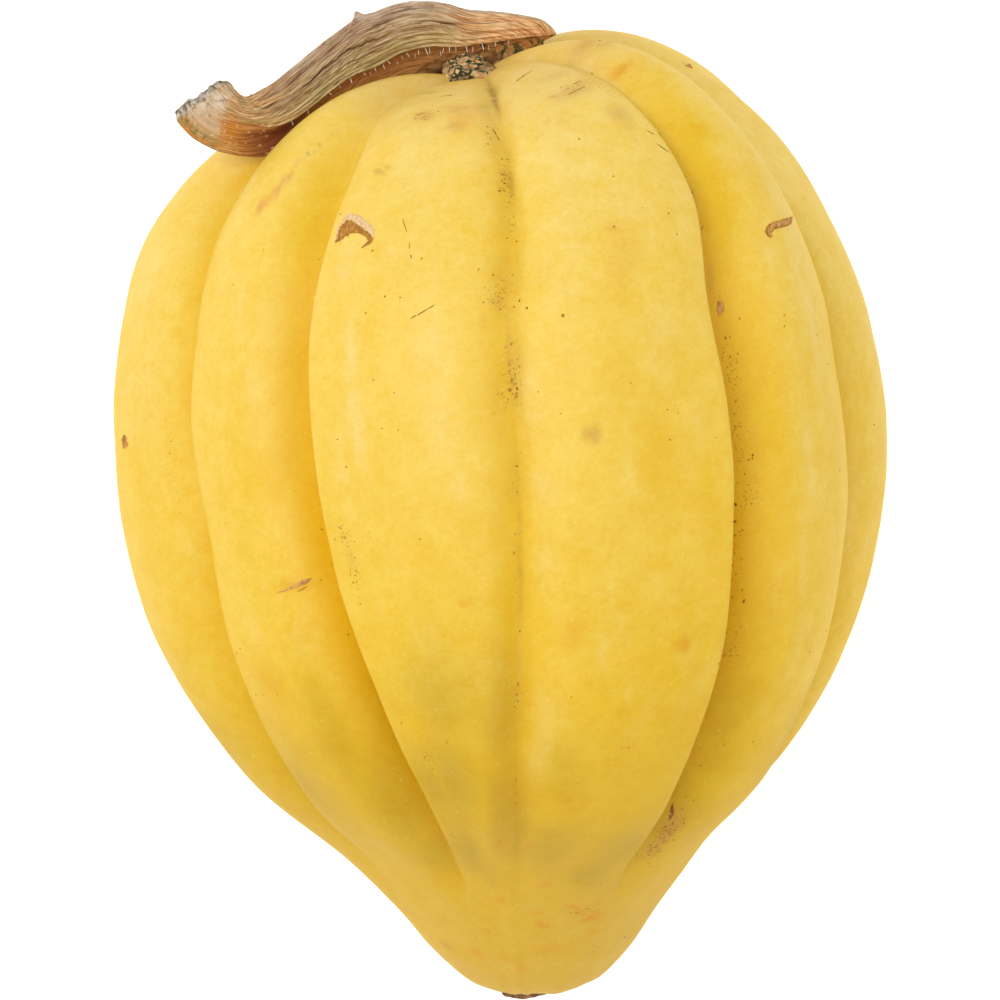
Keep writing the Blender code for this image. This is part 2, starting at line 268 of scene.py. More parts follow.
class Nodes:
    """Short way to write a node material."""

    def __init__(self, name):
        self.mat = bpy.data.materials.new(name)
        self.mat.use_nodes = True
        self.tree = self.mat.node_tree
        self.shader = self.tree.nodes["Principled BSDF"]
        self.out = self.tree.nodes["Material Output"]
        self.coord = self.tree.nodes.new("ShaderNodeTexCoord").outputs["Object"]

    def _set(self, socket, value):
        if isinstance(value, bpy.types.NodeSocket):
            self.tree.links.new(value, socket)
        elif isinstance(value, (tuple, list)):
            v = tuple(value)
            socket.default_value = v + (1.0,) if len(v) == 3 and len(socket.default_value) == 4 else v
        else:
            socket.default_value = value

    def attr(self, name):
        n = self.tree.nodes.new("ShaderNodeAttribute")
        n.attribute_name = name
        return n.outputs["Fac"]

    def noise(self, scale, detail=2.0, rough=0.5, distortion=0.0, vector=None, dims='3D'):
        n = self.tree.nodes.new("ShaderNodeTexNoise")
        n.noise_dimensions = dims
        self._set(n.inputs["Vector"], vector or self.coord)
        n.inputs["Scale"].default_value = scale
        n.inputs["Detail"].default_value = detail
        n.inputs["Roughness"].default_value = rough
        n.inputs["Distortion"].default_value = distortion
        return n.outputs["Fac"]

    def voronoi(self, scale, feature='F1', randomness=1.0, vector=None, out="Distance"):
        n = self.tree.nodes.new("ShaderNodeTexVoronoi")
        n.feature = feature
        self._set(n.inputs["Vector"], vector or self.coord)
        n.inputs["Scale"].default_value = scale
        n.inputs["Randomness"].default_value = randomness
        return n.outputs[out]

    def math(self, op, a, b=0.0, c=0.0, clamp=False):
        n = self.tree.nodes.new("ShaderNodeMath")
        n.operation = op
        n.use_clamp = clamp
        for s, v in zip(n.inputs, (a, b, c)):
            self._set(s, v)
        return n.outputs[0]

    def vmath(self, op, a, b=(0, 0, 0), scale=None):
        n = self.tree.nodes.new("ShaderNodeVectorMath")
        n.operation = op
        self._set(n.inputs[0], a)
        if op != 'SCALE':
            self._set(n.inputs[1], b)
        if scale is not None:
            self._set(n.inputs["Scale"], scale)
        return n.outputs["Value"] if op in ('DOT_PRODUCT', 'LENGTH', 'DISTANCE') else n.outputs["Vector"]

    def ramp(self, fac, lo, hi, smooth_step=True):
        n = self.tree.nodes.new("ShaderNodeMapRange")
        n.interpolation_type = 'SMOOTHSTEP' if smooth_step else 'LINEAR'
        n.clamp = True
        self._set(n.inputs["Value"], fac)
        n.inputs["From Min"].default_value = lo
        n.inputs["From Max"].default_value = hi
        n.inputs["To Min"].default_value = 0.0
        n.inputs["To Max"].default_value = 1.0
        return n.outputs["Result"]

    def mix(self, fac, a, b, blend='MIX'):
        n = self.tree.nodes.new("ShaderNodeMix")
        n.data_type = 'RGBA'
        n.blend_type = blend
        n.clamp_factor = True
        self._set(n.inputs[0], fac)
        self._set(n.inputs[6], a)
        self._set(n.inputs[7], b)
        return n.outputs[2]

    def bump(self, height, distance, strength=1.0, normal=None):
        n = self.tree.nodes.new("ShaderNodeBump")
        n.inputs["Strength"].default_value = strength
        n.inputs["Distance"].default_value = distance
        self._set(n.inputs["Height"], height)
        if normal is not None:
            self._set(n.inputs["Normal"], normal)
        return n.outputs["Normal"]


def srgb(r, g, b):
    """0-255 display colour to linear."""
    out = []
    for v in (r, g, b):
        v /= 255
        out.append(v / 12.92 if v <= 0.04045 else ((v + 0.055) / 1.055)**2.4)
    return tuple(out)


# =====================================================================================
# Fruit
# =====================================================================================
PER_RIB = 38
ROWS = 250
t = np.arange(PER_RIB) / PER_RIB
crowd = 0.80
t = t - crowd * np.sin(tau * t) / tau                     # columns crowd towards the grooves
u = (np.arange(RIBS)[:, None] + t[None]).ravel()
s = np.linspace(0, 1, ROWS + 2)
s = 0.75 * s + 0.25 * (0.5 - 0.5 * np.cos(np.pi * s))
s = s[1:-1]
p = skin(u, s, True)

# low, soft unevenness of the flesh under the skin
COLS = len(u)


def even_noise(cells_s, cells_u, seed):
    """Noise in even cells round the fruit, however the columns are spaced."""
    flat = lattice_noise((ROWS, 800), (cells_s, cells_u), seed, True)
    at_col = u / RIBS * 800
    c0_ = np.floor(at_col).astype(int)
    part = at_col - c0_
    return flat[:, c0_ % 800] * (1 - part) + flat[:, (c0_ + 1) % 800] * part


lumps = 0.26 * even_noise(9, 22, 11) + 0.13 * even_noise(22, 50, 12) + 0.035 * even_noise(60, 130, 13)
du = np.roll(p, -1, 1) - np.roll(p, 1, 1)
ds = np.gradient(p, axis=0)
normal = np.cross(du, ds)
normal /= np.maximum(np.linalg.norm(normal, axis=-1, keepdims=True), 1e-9)
if (normal * (p - np.array([0, -10, 0]))).sum(-1).mean() < 0:
    normal = -normal
groove_gap = np.minimum(u - np.floor(u), np.ceil(u) - u)
groove_gap = np.where(groove_gap == 0, 0, groove_gap)
lumps = lumps * smooth(s, [0, 0.06, 0.14, 1], [0, 0, 1, 1])[:, None]
p = p + normal * lumps[..., None]
laid = lay_down(p)
laid[..., 2] = np.maximum(laid[..., 2], FLOOR)            # the ground spots
poles = lay_down(skin(np.array([0.0]), np.array([0.0, 1.0])))[:, 0]
verts = np.vstack([laid.reshape(-1, 3), poles])
quads = [tuple(q) for q in grid_faces(ROWS, COLS)]
top, tip = ROWS * COLS, ROWS * COLS + 1
cap = [(top, (i + 1) % COLS, i) for i in range(COLS)]
cap += [(tip, (ROWS - 1) * COLS + i, (ROWS - 1) * COLS + (i + 1) % COLS) for i in range(COLS)]
fruit = make_mesh("squash_fruit", world(verts), quads + cap)

# distances that the rind's colour follows
arc = np.linalg.norm(np.roll(p, -1, 1) - p, axis=-1)      # step along the ring, mm
around_mm = np.concatenate([np.zeros((ROWS, 1)), np.cumsum(arc, axis=1)], 1)
total = around_mm[:, -1:]
around_mm = around_mm[:, :-1]
dist = np.full((ROWS, COLS), 99.0)
beyond = []                                               # signed distance past each groove
for j in range(RIBS):
    gap = around_mm - around_mm[:, j * PER_RIB:j * PER_RIB + 1]
    gap = (gap + total / 2) % total - total / 2
    beyond.append(gap)
    dist = np.minimum(dist, np.abs(gap))
middle_gap = beyond[3]


def per_vertex(name, values, poles_v=(0.0, 0.0)):
    add_attribute(fruit, name, np.concatenate([np.asarray(values).ravel(), poles_v]))


def bell(x, at_x, sigma):
    return np.exp(-((x - at_x) / sigma)**2)


def step_up(x, lo, hi):
    t_ = np.clip((x - lo) / (hi - lo), 0, 1)
    return t_ * t_ * (3 - 2 * t_)


S2 = np.repeat(s[:, None], COLS, 1)
rib_mm = np.repeat(total / RIBS, COLS, 1)                 # width of a rib along the ring
rag_a = even_noise(60, 120, 81)
rag_b = even_noise(24, 50, 82)


def stains(rows_):
    """Soft marks, each (u, s, mm across, mm along, strength[, slant])."""
    out = np.zeros((ROWS, COLS))
    for row_ in rows_:
        u0, s0, wide, tall, power = row_[:5]
        slant = row_[5] if len(row_) > 5 else 0.0
        du_ = (u[None] - u0 + RIBS / 2) % RIBS - RIBS / 2
        x_, y_ = du_ * rib_mm, (S2 - s0) * LENGTH
        x_, y_ = x_ * cos(slant) + y_ * sin(slant), y_ * cos(slant) - x_ * sin(slant)
        q_ = (x_ / wide)**2 + (y_ / tall)**2
        q_ = q_ * (1 + 0.35 * rag_a + 0.45 * rag_b)
        out = np.maximum(out, power * np.exp(-q_))
    return out


# deeper golden patches, then paler ones; the long golden bands beside grooves 2 and 4 are painted shade, and the pale
# bands on rib 3 by groove 2 and along rib 5's crest are painted highlights
GOLD = [(3.47, 0.380, 3.7, 3.9, 0.6), (3.56, 0.431, 4.8, 8.7, 0.8), (3.79, 0.456, 1.8, 5.5, 0.9),
        (3.59, 0.599, 7.2, 7.3, 0.8), (3.68, 0.588, 2.1, 3.5, 1), (3.38, 0.611, 5.2, 3.4, 0.7),
        (2.26, 0.629, 3.9, 4.1, 0.9), (2.69, 0.490, 6.7, 1.6, 0.35), (3.39, 0.327, 6.0, 1.4, 0.35),
        (4.47, 0.630, 3.0, 2.8, 0.8), (4.51, 0.597, 1.3, 3.8, 0.6), (1.40, 0.606, 3.0, 2.8, 0.6),
        (2.09, 0.498, 1.3, 3.5, 0.5), (3.12, 0.576, 1.5, 5.2, 0.4), (3.27, 0.697, 4.5, 4.6, 0.6),
        (2.33, 0.697, 6.7, 8.6, 0.6), (1.66, 0.752, 3.7, 8.3, 0.7), (1.63, 0.674, 4.5, 12.2, 0.8),
        (4.21, 0.555, 2.4, 10.4, 0.7), (4.24, 0.634, 3.3, 11.3, 0.7), (4.23, 0.727, 3.3, 9.3, 0.6),
        (1.21, 0.315, 0.9, 6.4, 0.5), (0.72, 0.474, 3.0, 8.7, 0.3), (1.78, 0.568, 1.5, 6.4, 0.6),
        (3.75, 0.390, 1.8, 4.3, 0.4), (3.25, 0.508, 3.7, 1.9, 0.4), (2.95, 0.547, 0.9, 6.9, 0.5),
        (1.64, 0.564, 2.7, 4.8, 0.4), (2.75, 0.557, 3.0, 2.2, 0.4), (3.41, 0.532, 3.0, 2.2, 0.5),
        (3.72, 0.538, 2.1, 4.8, 0.5), (3.57, 0.506, 3.0, 1.6, 0.5), (2.78, 0.605, 2.1, 3.8, 0.5),
        (3.30, 0.412, 2.1, 1.7, 0.35), (2.43, 0.439, 2.4, 1.3, 0.35), (2.39, 0.534, 3.0, 1.3, 0.35),
        (0.87, 0.397, 2.1, 4.8, 0.3), (1.86, 0.47, 3.4, 24, 1.0), (4.24, 0.44, 4.4, 30, 0.9),
        (6.5, 0.45, 8, 14, 0.6), (7.6, 0.3, 7, 10, 0.7), (8.5, 0.6, 9, 12, 0.7), (9.4, 0.35, 8, 14, 0.6),
        (7.2, 0.55, 6, 10, 0.5), (5.5, 0.6, 5, 12, 0.5), (9.6, 0.62, 6, 10, 0.6), (8.4, 0.28, 6, 8, 0.5),
        (6.4, 0.25, 5, 9, 0.4)]
PALE = [(2.22, 0.286, 1.5, 3.5, 1), (2.32, 0.345, 1.3, 6.5, 1), (2.32, 0.398, 1.2, 5.8, 1),
        (3.24, 0.316, 2.1, 2.9, 0.6), (3.07, 0.388, 1.8, 4.8, 0.7), (2.75, 0.447, 1.2, 2.9, 0.7),
        (3.11, 0.452, 2.7, 2.6, 0.7), (3.35, 0.568, 1.0, 3.1, 0.6), (4.60, 0.377, 1.3, 7.2, 0.8),
        (4.44, 0.452, 1.3, 8.7, 0.8), (4.41, 0.527, 1.3, 7.2, 0.7), (1.49, 0.330, 1.3, 4.3, 0.6),
        (0.68, 0.310, 2.7, 6.4, 0.5), (2.53, 0.207, 3.3, 4.1, 0.5), (3.29, 0.207, 3.3, 8.1, 0.5),
        (3.26, 0.274, 2.4, 4.8, 0.5), (4.28, 0.547, 1.5, 4.0, 0.6), (2.67, 0.348, 2.4, 6.4, 0.5),
        (2.69, 0.404, 2.7, 4.8, 0.5), (2.22, 0.434, 1.5, 5.8, 0.5), (3.11, 0.502, 2.1, 2.3, 0.5),
        (3.51, 0.259, 2.4, 4.1, 0.4), (3.63, 0.353, 2.7, 2.9, 0.4), (3.77, 0.416, 1.2, 4.3, 0.5),
        (3.00, 0.580, 0.6, 8.7, 0.5), (3.15, 0.642, 2.1, 7.5, 0.5), (1.34, 0.559, 1.8, 3.8, 0.5),
        (1.61, 0.392, 2.1, 5.8, 0.5), (0.76, 0.399, 2.1, 9.6, 0.4), (0.65, 0.386, 1.2, 9.6, 0.4),
        (5.18, 0.508, 0.9, 10.4, 0.5), (2.85, 0.199, 1.8, 6.5, 0.5), (2.50, 0.283, 3.0, 3.5, 0.4),
        (4.30, 0.254, 2.1, 2.6, 0.4), (4.36, 0.321, 1.5, 3.3, 0.5), (4.60, 0.30, 3.0, 10, 0.6),
        (6.4, 0.3, 8, 12, 0.6), (8.6, 0.40, 8, 12, 0.6), (7.5, 0.55, 6, 10, 0.6), (9.6, 0.45, 6, 12, 0.6),
        (5.6, 0.4, 6, 14, 0.5)]
# painted shade: olive patches on the neck and the lower flanks where they fall into shade
NECK_SHADE = [(1.75, 0.715, 4, 9, 0.8), (2.85, 0.72, 4, 11, 0.6), (3.81, 0.765, 6, 6, 0.8), (4.12, 0.745, 4, 8, 0.8),
        (3.03, 0.74, 3, 12, 0.7), (1.2, 0.7, 6, 9, 0.7), (1.63, 0.64, 3, 12, 0.6), (4.2, 0.66, 3, 14, 0.6),
        (4.76, 0.68, 6, 10, 0.5), (0.58, 0.68, 8, 10, 0.5), (7.2, 0.7, 8, 10, 0.7), (8.9, 0.72, 9, 9, 0.7),
        (1.97, 0.640, 4, 7, 0.6), (2.20, 0.684, 6, 9, 0.9), (2.51, 0.604, 8, 8, 0.8),
        (1.82, 0.720, 3, 6, 0.6), (1.83, 0.775, 3, 5, 0.6), (2.86, 0.725, 3, 7, 0.6), (3.60, 0.795, 5, 5, 0.8),
        (3.22, 0.758, 6, 7, 0.8), (2.45, 0.672, 8, 10, 1), (2.30, 0.763, 6, 6, 0.9), (2.89, 0.626, 4, 9, 0.55), (3.25, 0.672, 4, 7, 0.5)]
TAN = [(4.30, 0.10, 4, 2.5, 0.6), (4.62, 0.11, 4, 2.5, 0.5), (2.5, 0.141, 2.2, 2.4, 0.7, 0.5), (2.7, 0.135, 3.6, 2.6, 0.55, 0.4), (2.71, 0.16, 2.2, 2.4, 0.5),
       (3.58, 0.149, 5, 2.4, 0.6, -0.3), (3.4, 0.15, 1.6, 0.9, 0.7), (3.75, 0.19, 2.6, 3, 0.5),
       (3.52, 0.12, 5, 2, 0.4), (2.27, 0.205, 1.4, 0.7, 0.7, 0.5), (2.31, 0.2, 1.2, 0.6, 0.6, 0.5),
       (2.94, 0.316, 1.6, 2.4, 0.5), (2.89, 0.33, 1.2, 1.4, 0.4), (3.3, 0.416, 1.5, 1.7, 0.75),
       (4.02, 0.262, 1, 3, 0.6), (4.06, 0.33, 0.9, 5, 0.5), (4.36, 0.115, 3.5, 2, 0.5), (4.56, 0.105, 3, 1.4, 0.4),
       (2.19, 0.495, 1.1, 4.2, 0.45), (3.75, 0.28, 1.6, 0.9, 0.35), (1.17, 0.893, 2.6, 1.6, 0.4),
       (4.17, 0.765, 1.3, 6, 0.8), (4.14, 0.785, 2.2, 3, 0.5), (5.6, 0.12, 4, 2, 0.5), (6.2, 0.166, 1.4, 1.2, 0.6),
       (7.7, 0.45, 2, 3, 0.5), (9.2, 0.3, 1.6, 2.4, 0.5)]
ORANGE = [(3.71, 0.572, 0.9, 1, 0.9), (3.25, 0.809, 1.5, 0.5, 0.9, -0.4), (2.71, 0.829, 1.7, 0.6, 0.9, -0.5),
          (3.21, 0.845, 1.6, 0.6, 0.8, -0.3), (3.27, 0.86, 1.2, 0.8, 0.9), (3.58, 0.838, 1.4, 0.6, 0.9, 0.5),
          (3.69, 0.848, 1.2, 0.6, 0.9, 0.3), (3.85, 0.856, 1.4, 0.8, 0.9, -0.2), (2.86, 0.911, 1.6, 0.8, 0.7),
          (1.74, 0.895, 1.8, 0.8, 0.7), (4.13, 0.145, 2.2, 0.9, 0.9, 0.2), (3.32, 0.698, 1.2, 0.8, 0.7, -0.7),
          (1.68, 0.5245, 3.4, 0.7, 0.7, 0), (3.37, 0.708, 1.8, 0.6, 0.6, -0.5), (3.23, 0.557, 2.2, 3, 0.35), (2.83, 0.751, 2.4, 1.2, 0.5),
          (3.07, 0.757, 2, 0.8, 0.5), (2.74, 0.529, 1, 0.7, 0.6), (3.46, 0.278, 0.6, 0.6, 0.8),
          (2.73, 0.15, 2, 3, 0.5), (3.5, 0.3, 3, 5, 0.3), (3.43, 0.89, 3, 0.7, 0.5), (2.48, 0.9, 2.4, 0.7, 0.5),
          (3.96, 0.875, 0.8, 0.6, 0.7), (2.16, 0.87, 0.9, 0.6, 0.6), (1.35, 0.6, 3, 4, 0.25)]
PINK = [(1.62, 0.227, 1, 2, 0.9, 0.35), (1.58, 0.239, 1.1, 2.2, 0.8, 0.4), (1.51, 0.252, 1.1, 2, 0.9, 0.45),
        (1.66, 0.209, 0.7, 1.6, 0.7, 0.4), (1.71, 0.199, 0.6, 1.5, 0.6, 0.5), (1.78, 0.172, 0.8, 1.6, 0.5, 0.6),
        (1.17, 0.893, 1.6, 1.2, 0.5), (1.85, 0.925, 2.2, 1.2, 0.4), (3.99, 0.3, 0.9, 1.6, 0.3),
        (3.15, 0.3, 3, 3.5, 0.25), (3.25, 0.37, 2, 4, 0.25), (2.19, 0.3, 2, 5, 0.2)]
GREEN = [(1.74, 0.19, 0.7, 0.5, 1, 0.6), (1.69, 0.2, 0.5, 0.5, 0.7), (1.48, 0.262, 0.6, 1, 0.6, 0.4),
         (2.39, 0.095, 3, 1.2, 0.5), (3.03, 0.1, 1.4, 3, 0.5), (2.94, 0.13, 1, 3, 0.4), (3.97, 0.1, 2.5, 2, 0.4)]
per_vertex("groove_mm", dist)
per_vertex("along", S2, (0.0, 1.0))
fade = 1 - step_up(S2, 0.74, 0.85)
edge_noise = 1.6 * rag_a + 0.8 * rag_b
# painted shade: deeper gold in the grooves and over the flanks beside them, widest beside grooves 2 and 4 and softer at
# the middle groove
valley = np.zeros((ROWS, COLS))
for j in range(RIBS):
    gap = beyond[j] + 0.35 * edge_noise * np.clip(np.abs(beyond[j]) / 4, 0, 1)
    if j == 2:
        one = np.where(gap < 0, 1 - step_up(-gap, 3.0, 11.0), 1 - step_up(gap, 0.5, 1.3))
    elif j == 4:
        one = np.where(gap > 0, 1 - step_up(gap, 4.5, 10.5), 1 - step_up(-gap, 0.5, 1.3))
    elif j == 3:
        one = 0.75 * np.where(gap < 0, 1 - step_up(-gap, 0.5, 6.5), 1 - step_up(gap, 0.3, 2.8))
    else:
        one = 0.9 * (1 - step_up(np.abs(gap), 1.0, 7.5))
    if j != 3:
        one = one * step_up(S2, 0.06, 0.27)
    valley = np.maximum(valley, one)
per_vertex("valley", valley * fade * step_up(S2, 0.03, 0.12))
# painted highlights: pale lines along the rib edges by grooves 1, 2, 4 and 5, where the edges catch the light
rim = np.maximum(bell(beyond[2], 1.75, 0.42) * step_up(S2, 0.12, 0.2), 0.9 * bell(-beyond[4], 2.0, 0.55) * step_up(S2, 0.28, 0.36))
rim = np.maximum(rim, 0.9 * bell(-beyond[5], 1.3, 0.9) * step_up(S2, 0.08, 0.15) * (1 - step_up(S2, 0.26, 0.38)))
rim = rim * (1 - step_up(S2, 0.60, 0.70)) * np.clip(0.75 + 0.5 * rag_b, 0, 1)
# towards the blossom end the ribs' edges are pale lines, painted highlights too
line_on = step_up(S2, 0.56, 0.64) * (1 - step_up(S2, 0.72, 0.81))
for j, off, power in ((1, 0.9, 0.7), (2, 0.9, 0.9), (4, -0.9, 0.9), (5, -0.9, 0.5)):
    rim = np.maximum(rim, power * bell(beyond[j], off, 0.75) * line_on)
per_vertex("rim", rim)
# brown line down the middle groove: thin near the crown, broken patches further down; partly a brown mark and partly
# painted shade in the crease, and the lines at the foot of the walls by grooves 1 and 5 are painted shade
patchy = np.clip(0.62 + 0.75 * lattice_noise((ROWS, COLS), (34, 3), 83, True), 0, 1.2)
thin = bell(middle_gap, 0.1, 0.50) * (1 - step_up(S2, 0.21, 0.25)) * patchy
edge_line = (0.30 * bell(beyond[1], -0.2, 0.6) + 0.55 * bell(beyond[5], 0.3, 0.6)) * step_up(S2, 0.22, 0.32) * (1 - step_up(S2, 0.56, 0.66))
lower_line = 0.30 * bell(middle_gap, 0, 0.45) * step_up(S2, 0.30, 0.36) * np.clip(patchy, 0.5, 1.2)
per_vertex("crease", np.clip(np.maximum(np.maximum(thin, lower_line), edge_line * np.clip(patchy, 0.6, 1.2)), 0, 1) * (1 - step_up(S2, 0.72, 0.80)) * step_up(S2, 0.04, 0.08))
# soft brown tone along the middle groove: partly brown streaks, partly painted shade along the groove
BROWN = [(2.976, 0.215, 1.1, 4, 0.46), (2.982, 0.3, 2.4, 4.5, 0.34), (2.978, 0.318, 1.8, 3, 0.25),
        (3.026, 0.362, 1.5, 5, 0.46), (3.018, 0.378, 1.2, 3.6, 0.46), (2.976, 0.375, 3, 4, 0.19),
        (2.984, 0.44, 1.4, 4.5, 0.31), (2.936, 0.39, 3.5, 4.5, 0.14), (2.984, 0.5, 0.8, 4, 0.22),
        (2.986, 0.6, 0.6, 9, 0.19), (2.972, 0.25, 1.4, 5, 0.25), (2.944, 0.17, 1, 5, 0.28),
        (2.928, 0.63, 4, 12, 0.15), (2.916, 0.7, 5, 9, 0.19)]
FRECKLE = [(2.934, 0.169, 1, 3.2, 0.58), (2.976, 0.216, 1.4, 4.2, 0.72), (2.986, 0.26, 1, 3.6, 0.5),
        (2.952, 0.312, 2.6, 3.6, 0.65), (3.012, 0.372, 1.8, 4.6, 0.72), (2.958, 0.388, 2.2, 2.6, 0.58),
        (2.994, 0.44, 1.4, 4.5, 0.5), (2.982, 0.52, 1, 5, 0.36), (2.99, 0.614, 0.9, 3, 0.5),
        (2.988, 0.69, 1.2, 6, 0.43), (2.172, 0.48, 1.4, 2.4, 0.9), (2.196, 0.505, 1.6, 3.2, 0.9),
        (2.31, 0.483, 1.2, 1.5, 0.6), (2.258, 0.658, 2.2, 3.2, 0.8), (3.968, 0.211, 0.7, 0.9, 0.9),
        (3.962, 0.226, 0.7, 1.5, 0.9), (4.008, 0.256, 1.2, 2.2, 0.9), (4.028, 0.29, 1, 3.6, 0.9),
        (4.07, 0.34, 1, 4, 0.8), (4.10, 0.39, 1.4, 5, 0.8), (4.10, 0.44, 1.4, 6, 0.85),
        (4.14, 0.475, 2, 4, 0.8), (4.09, 0.53, 1.4, 8, 0.7), (4.13, 0.6, 1.6, 8, 0.6),
        (4.166, 0.765, 1.4, 4.6, 1), (4.138, 0.785, 2, 2.6, 1), (2.826, 0.751, 2.2, 1.4, 0.7),
        (1.894, 0.52, 1, 2, 0.7), (1.916, 0.455, 0.7, 3, 0.5), (2.488, 0.142, 1.8, 2.2, 0.8),
        (2.362, 0.15, 2, 1, 0.5), (3.582, 0.145, 5, 2, 0.5), (3.796, 0.16, 4, 3, 0.4),
        (3.688, 0.845, 3.6, 2.4, 0.6), (2.928, 0.83, 3, 2.4, 0.36), (3.296, 0.416, 1.5, 1.7, 0.5),
        (4.444, 0.36, 2, 2, 0.5), (2.536, 0.31, 1.2, 1, 0.5), (2.314, 0.37, 1.4, 1, 0.5),
        (2.742, 0.53, 1.4, 1, 0.5), (4.466, 0.12, 3, 1.6, 0.5), (4.688, 0.2, 1.2, 2, 0.4),
        (2.428, 0.625, 2.4, 2, 0.4), (3.556, 0.65, 2, 2, 0.4), (3.944, 0.52, 1.5, 5, 0.4),
        (3.69, 0.41, 1.4, 2.4, 0.45), (2.676, 0.4, 1, 1, 0.4), (1.204, 0.6, 2, 2, 0.5), (1.476, 0.53, 2, 1, 0.6),
        (5.082, 0.4, 1, 14, 0.5), (6, 0.5, 1, 14, 0.5), (8, 0.4, 1.2, 14, 0.5), (9, 0.5, 1.2, 14, 0.5),
        (7, 0.45, 1.2, 12, 0.5), (0.834, 0.45, 1, 14, 0.4), (7.5, 0.7, 4, 4, 0.6), (8.6, 0.3, 3, 3, 0.5)]
for name_, rows_ in (("gold", GOLD), ("pale", PALE), ("neck_shade", NECK_SHADE), ("tan", TAN), ("orange", ORANGE),
                     ("pink", PINK), ("green", GREEN), ("brown", BROWN), ("freckle", FRECKLE)):
    per_vertex(name_, stains(rows_))

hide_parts("fruit")
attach(fruit, "root")

# -------------------------------------------------------------------------- rind material
n = Nodes("rind")
groove = n.attr("groove_mm")
along = n.attr("along")
big = n.noise(24, 3, 0.55)
mid = n.noise(85, 4, 0.6, 0.3)
mid2 = n.noise(130, 3, 0.55, 0.2, vector=n.vmath('MULTIPLY', n.vmath('ADD', n.coord, (0.31, 0.17, 0.05)), (1.0, 0.40, 1.0)))
fine = n.noise(520, 3, 0.6)
grain = n.noise(2200, 2, 0.5)
speckle = n.noise(3300, 3, 0.65)
cloud = n.math('ADD', n.math('MULTIPLY', n.math('SUBTRACT', big, 0.5), 0.9), n.math('MULTIPLY', n.math('SUBTRACT', mid, 0.5), 0.5))
rough_edge = n.math('ADD', 0.35, n.math('MULTIPLY', fine, 1.3))


def layer(base, mask, strength, colour, broken=False):
    m = n.math('MULTIPLY', mask, strength)
    if broken:
        m = n.math('MULTIPLY', m, n.ramp(n.math('ADD', n.math('MULTIPLY', mask, 0.55), n.math('MULTIPLY', n.math('ADD', fine, n.math('MULTIPLY', speckle, 0.6)), 0.5)), 0.42, 0.72))
    return n.mix(m, base, colour)


# pale on the shoulders, deeper lower down and in the grooves: the pale top is partly painted highlight, the deeper gold
# lower down is partly painted shade, and the grooves' gold is painted shade
down = n.ramp(n.math('ADD', along, n.math('MULTIPLY', cloud, 0.35)), 0.16, 0.70, False)
col = n.mix(down, srgb(244, 209, 99), srgb(238, 193, 42))
# pale patches, partly painted highlights on rib 3 by groove 2 and along rib 5's crest
col = layer(col, n.attr("pale"), 0.70, srgb(244, 212, 124))
# golden patches, partly painted shade in long bands beside grooves 2 and 4
col = layer(col, n.attr("gold"), 0.75, srgb(236, 188, 24))
col = layer(col, n.ramp(mid2, 0.50, 0.72), 0.30, srgb(238, 190, 36))
col = layer(col, n.ramp(mid2, 0.46, 0.26), 0.30, srgb(245, 212, 112))
# painted shade in the grooves
col = layer(col, n.attr("valley"), 0.82, srgb(228, 182, 4))
# painted shade: darker, olive gold on the lower half and towards the blossom tip, where the surface turns away from the
# light
low = n.ramp(n.math('ADD', along, n.math('MULTIPLY', cloud, 0.30)), 0.54, 0.78)
col = layer(col, low, 0.66, srgb(212, 166, 24))
tip_shade = n.ramp(n.math('ADD', along, n.math('MULTIPLY', cloud, 0.2)), 0.80, 0.93)
col = layer(col, tip_shade, 0.55, srgb(216, 174, 62))
# painted shade on the neck and lower flanks
col = layer(col, n.attr("neck_shade"), 0.47, srgb(166, 132, 20))
# painted shade: duller tan towards the crown, where the surface turns away from the light
crown_shade = n.ramp(n.math('ADD', along, n.math('MULTIPLY', cloud, 0.12)), 0.19, 0.09)
col = layer(col, crown_shade, 0.50, srgb(214, 174, 98))
# painted highlight on the rib edges
col = layer(col, n.attr("rim"), 0.55, srgb(236, 206, 120))
# marks, and below them lines and tone along the grooves that are partly painted shade
col = layer(col, n.attr("orange"), 0.85, srgb(222, 148, 12))
col = layer(col, n.attr("pink"), 0.85, srgb(224, 150, 88), True)
col = layer(col, n.attr("tan"), 0.80, srgb(198, 142, 68), True)
col = layer(col, n.attr("green"), 0.90, srgb(158, 150, 34), True)
stain = n.math('MULTIPLY', n.attr("brown"), n.ramp(n.math('ADD', n.math('MULTIPLY', fine, 0.6), n.math('MULTIPLY', speckle, 0.5)), 0.38, 0.72))
# broad tone: partly painted shade along the middle groove; the speckled stain below is the brown streak
col = layer(col, n.attr("brown"), 0.50, srgb(204, 154, 32))
col = layer(col, stain, 0.70, srgb(178, 122, 20))
crease = n.math('MULTIPLY', n.attr("crease"), n.ramp(n.math('ADD', fine, n.math('MULTIPLY', speckle, 0.5)), 0.45, 0.95))
# painted shade in the creases, with a brown mark down the middle groove
col = layer(col, n.attr("crease"), 0.34, srgb(192, 138, 24))
col = layer(col, crease, 0.60, srgb(134, 88, 18))
freckle = n.attr("freckle")
dots = n.noise(2300, 1.5, 0.6)
dot_mask = n.ramp(n.math('ADD', dots, n.math('MULTIPLY', freckle, 0.20)), 0.70, 0.78)
col = layer(col, n.math('MULTIPLY', dot_mask, n.ramp(freckle, 0.05, 0.30)), 0.60, srgb(158, 106, 20))
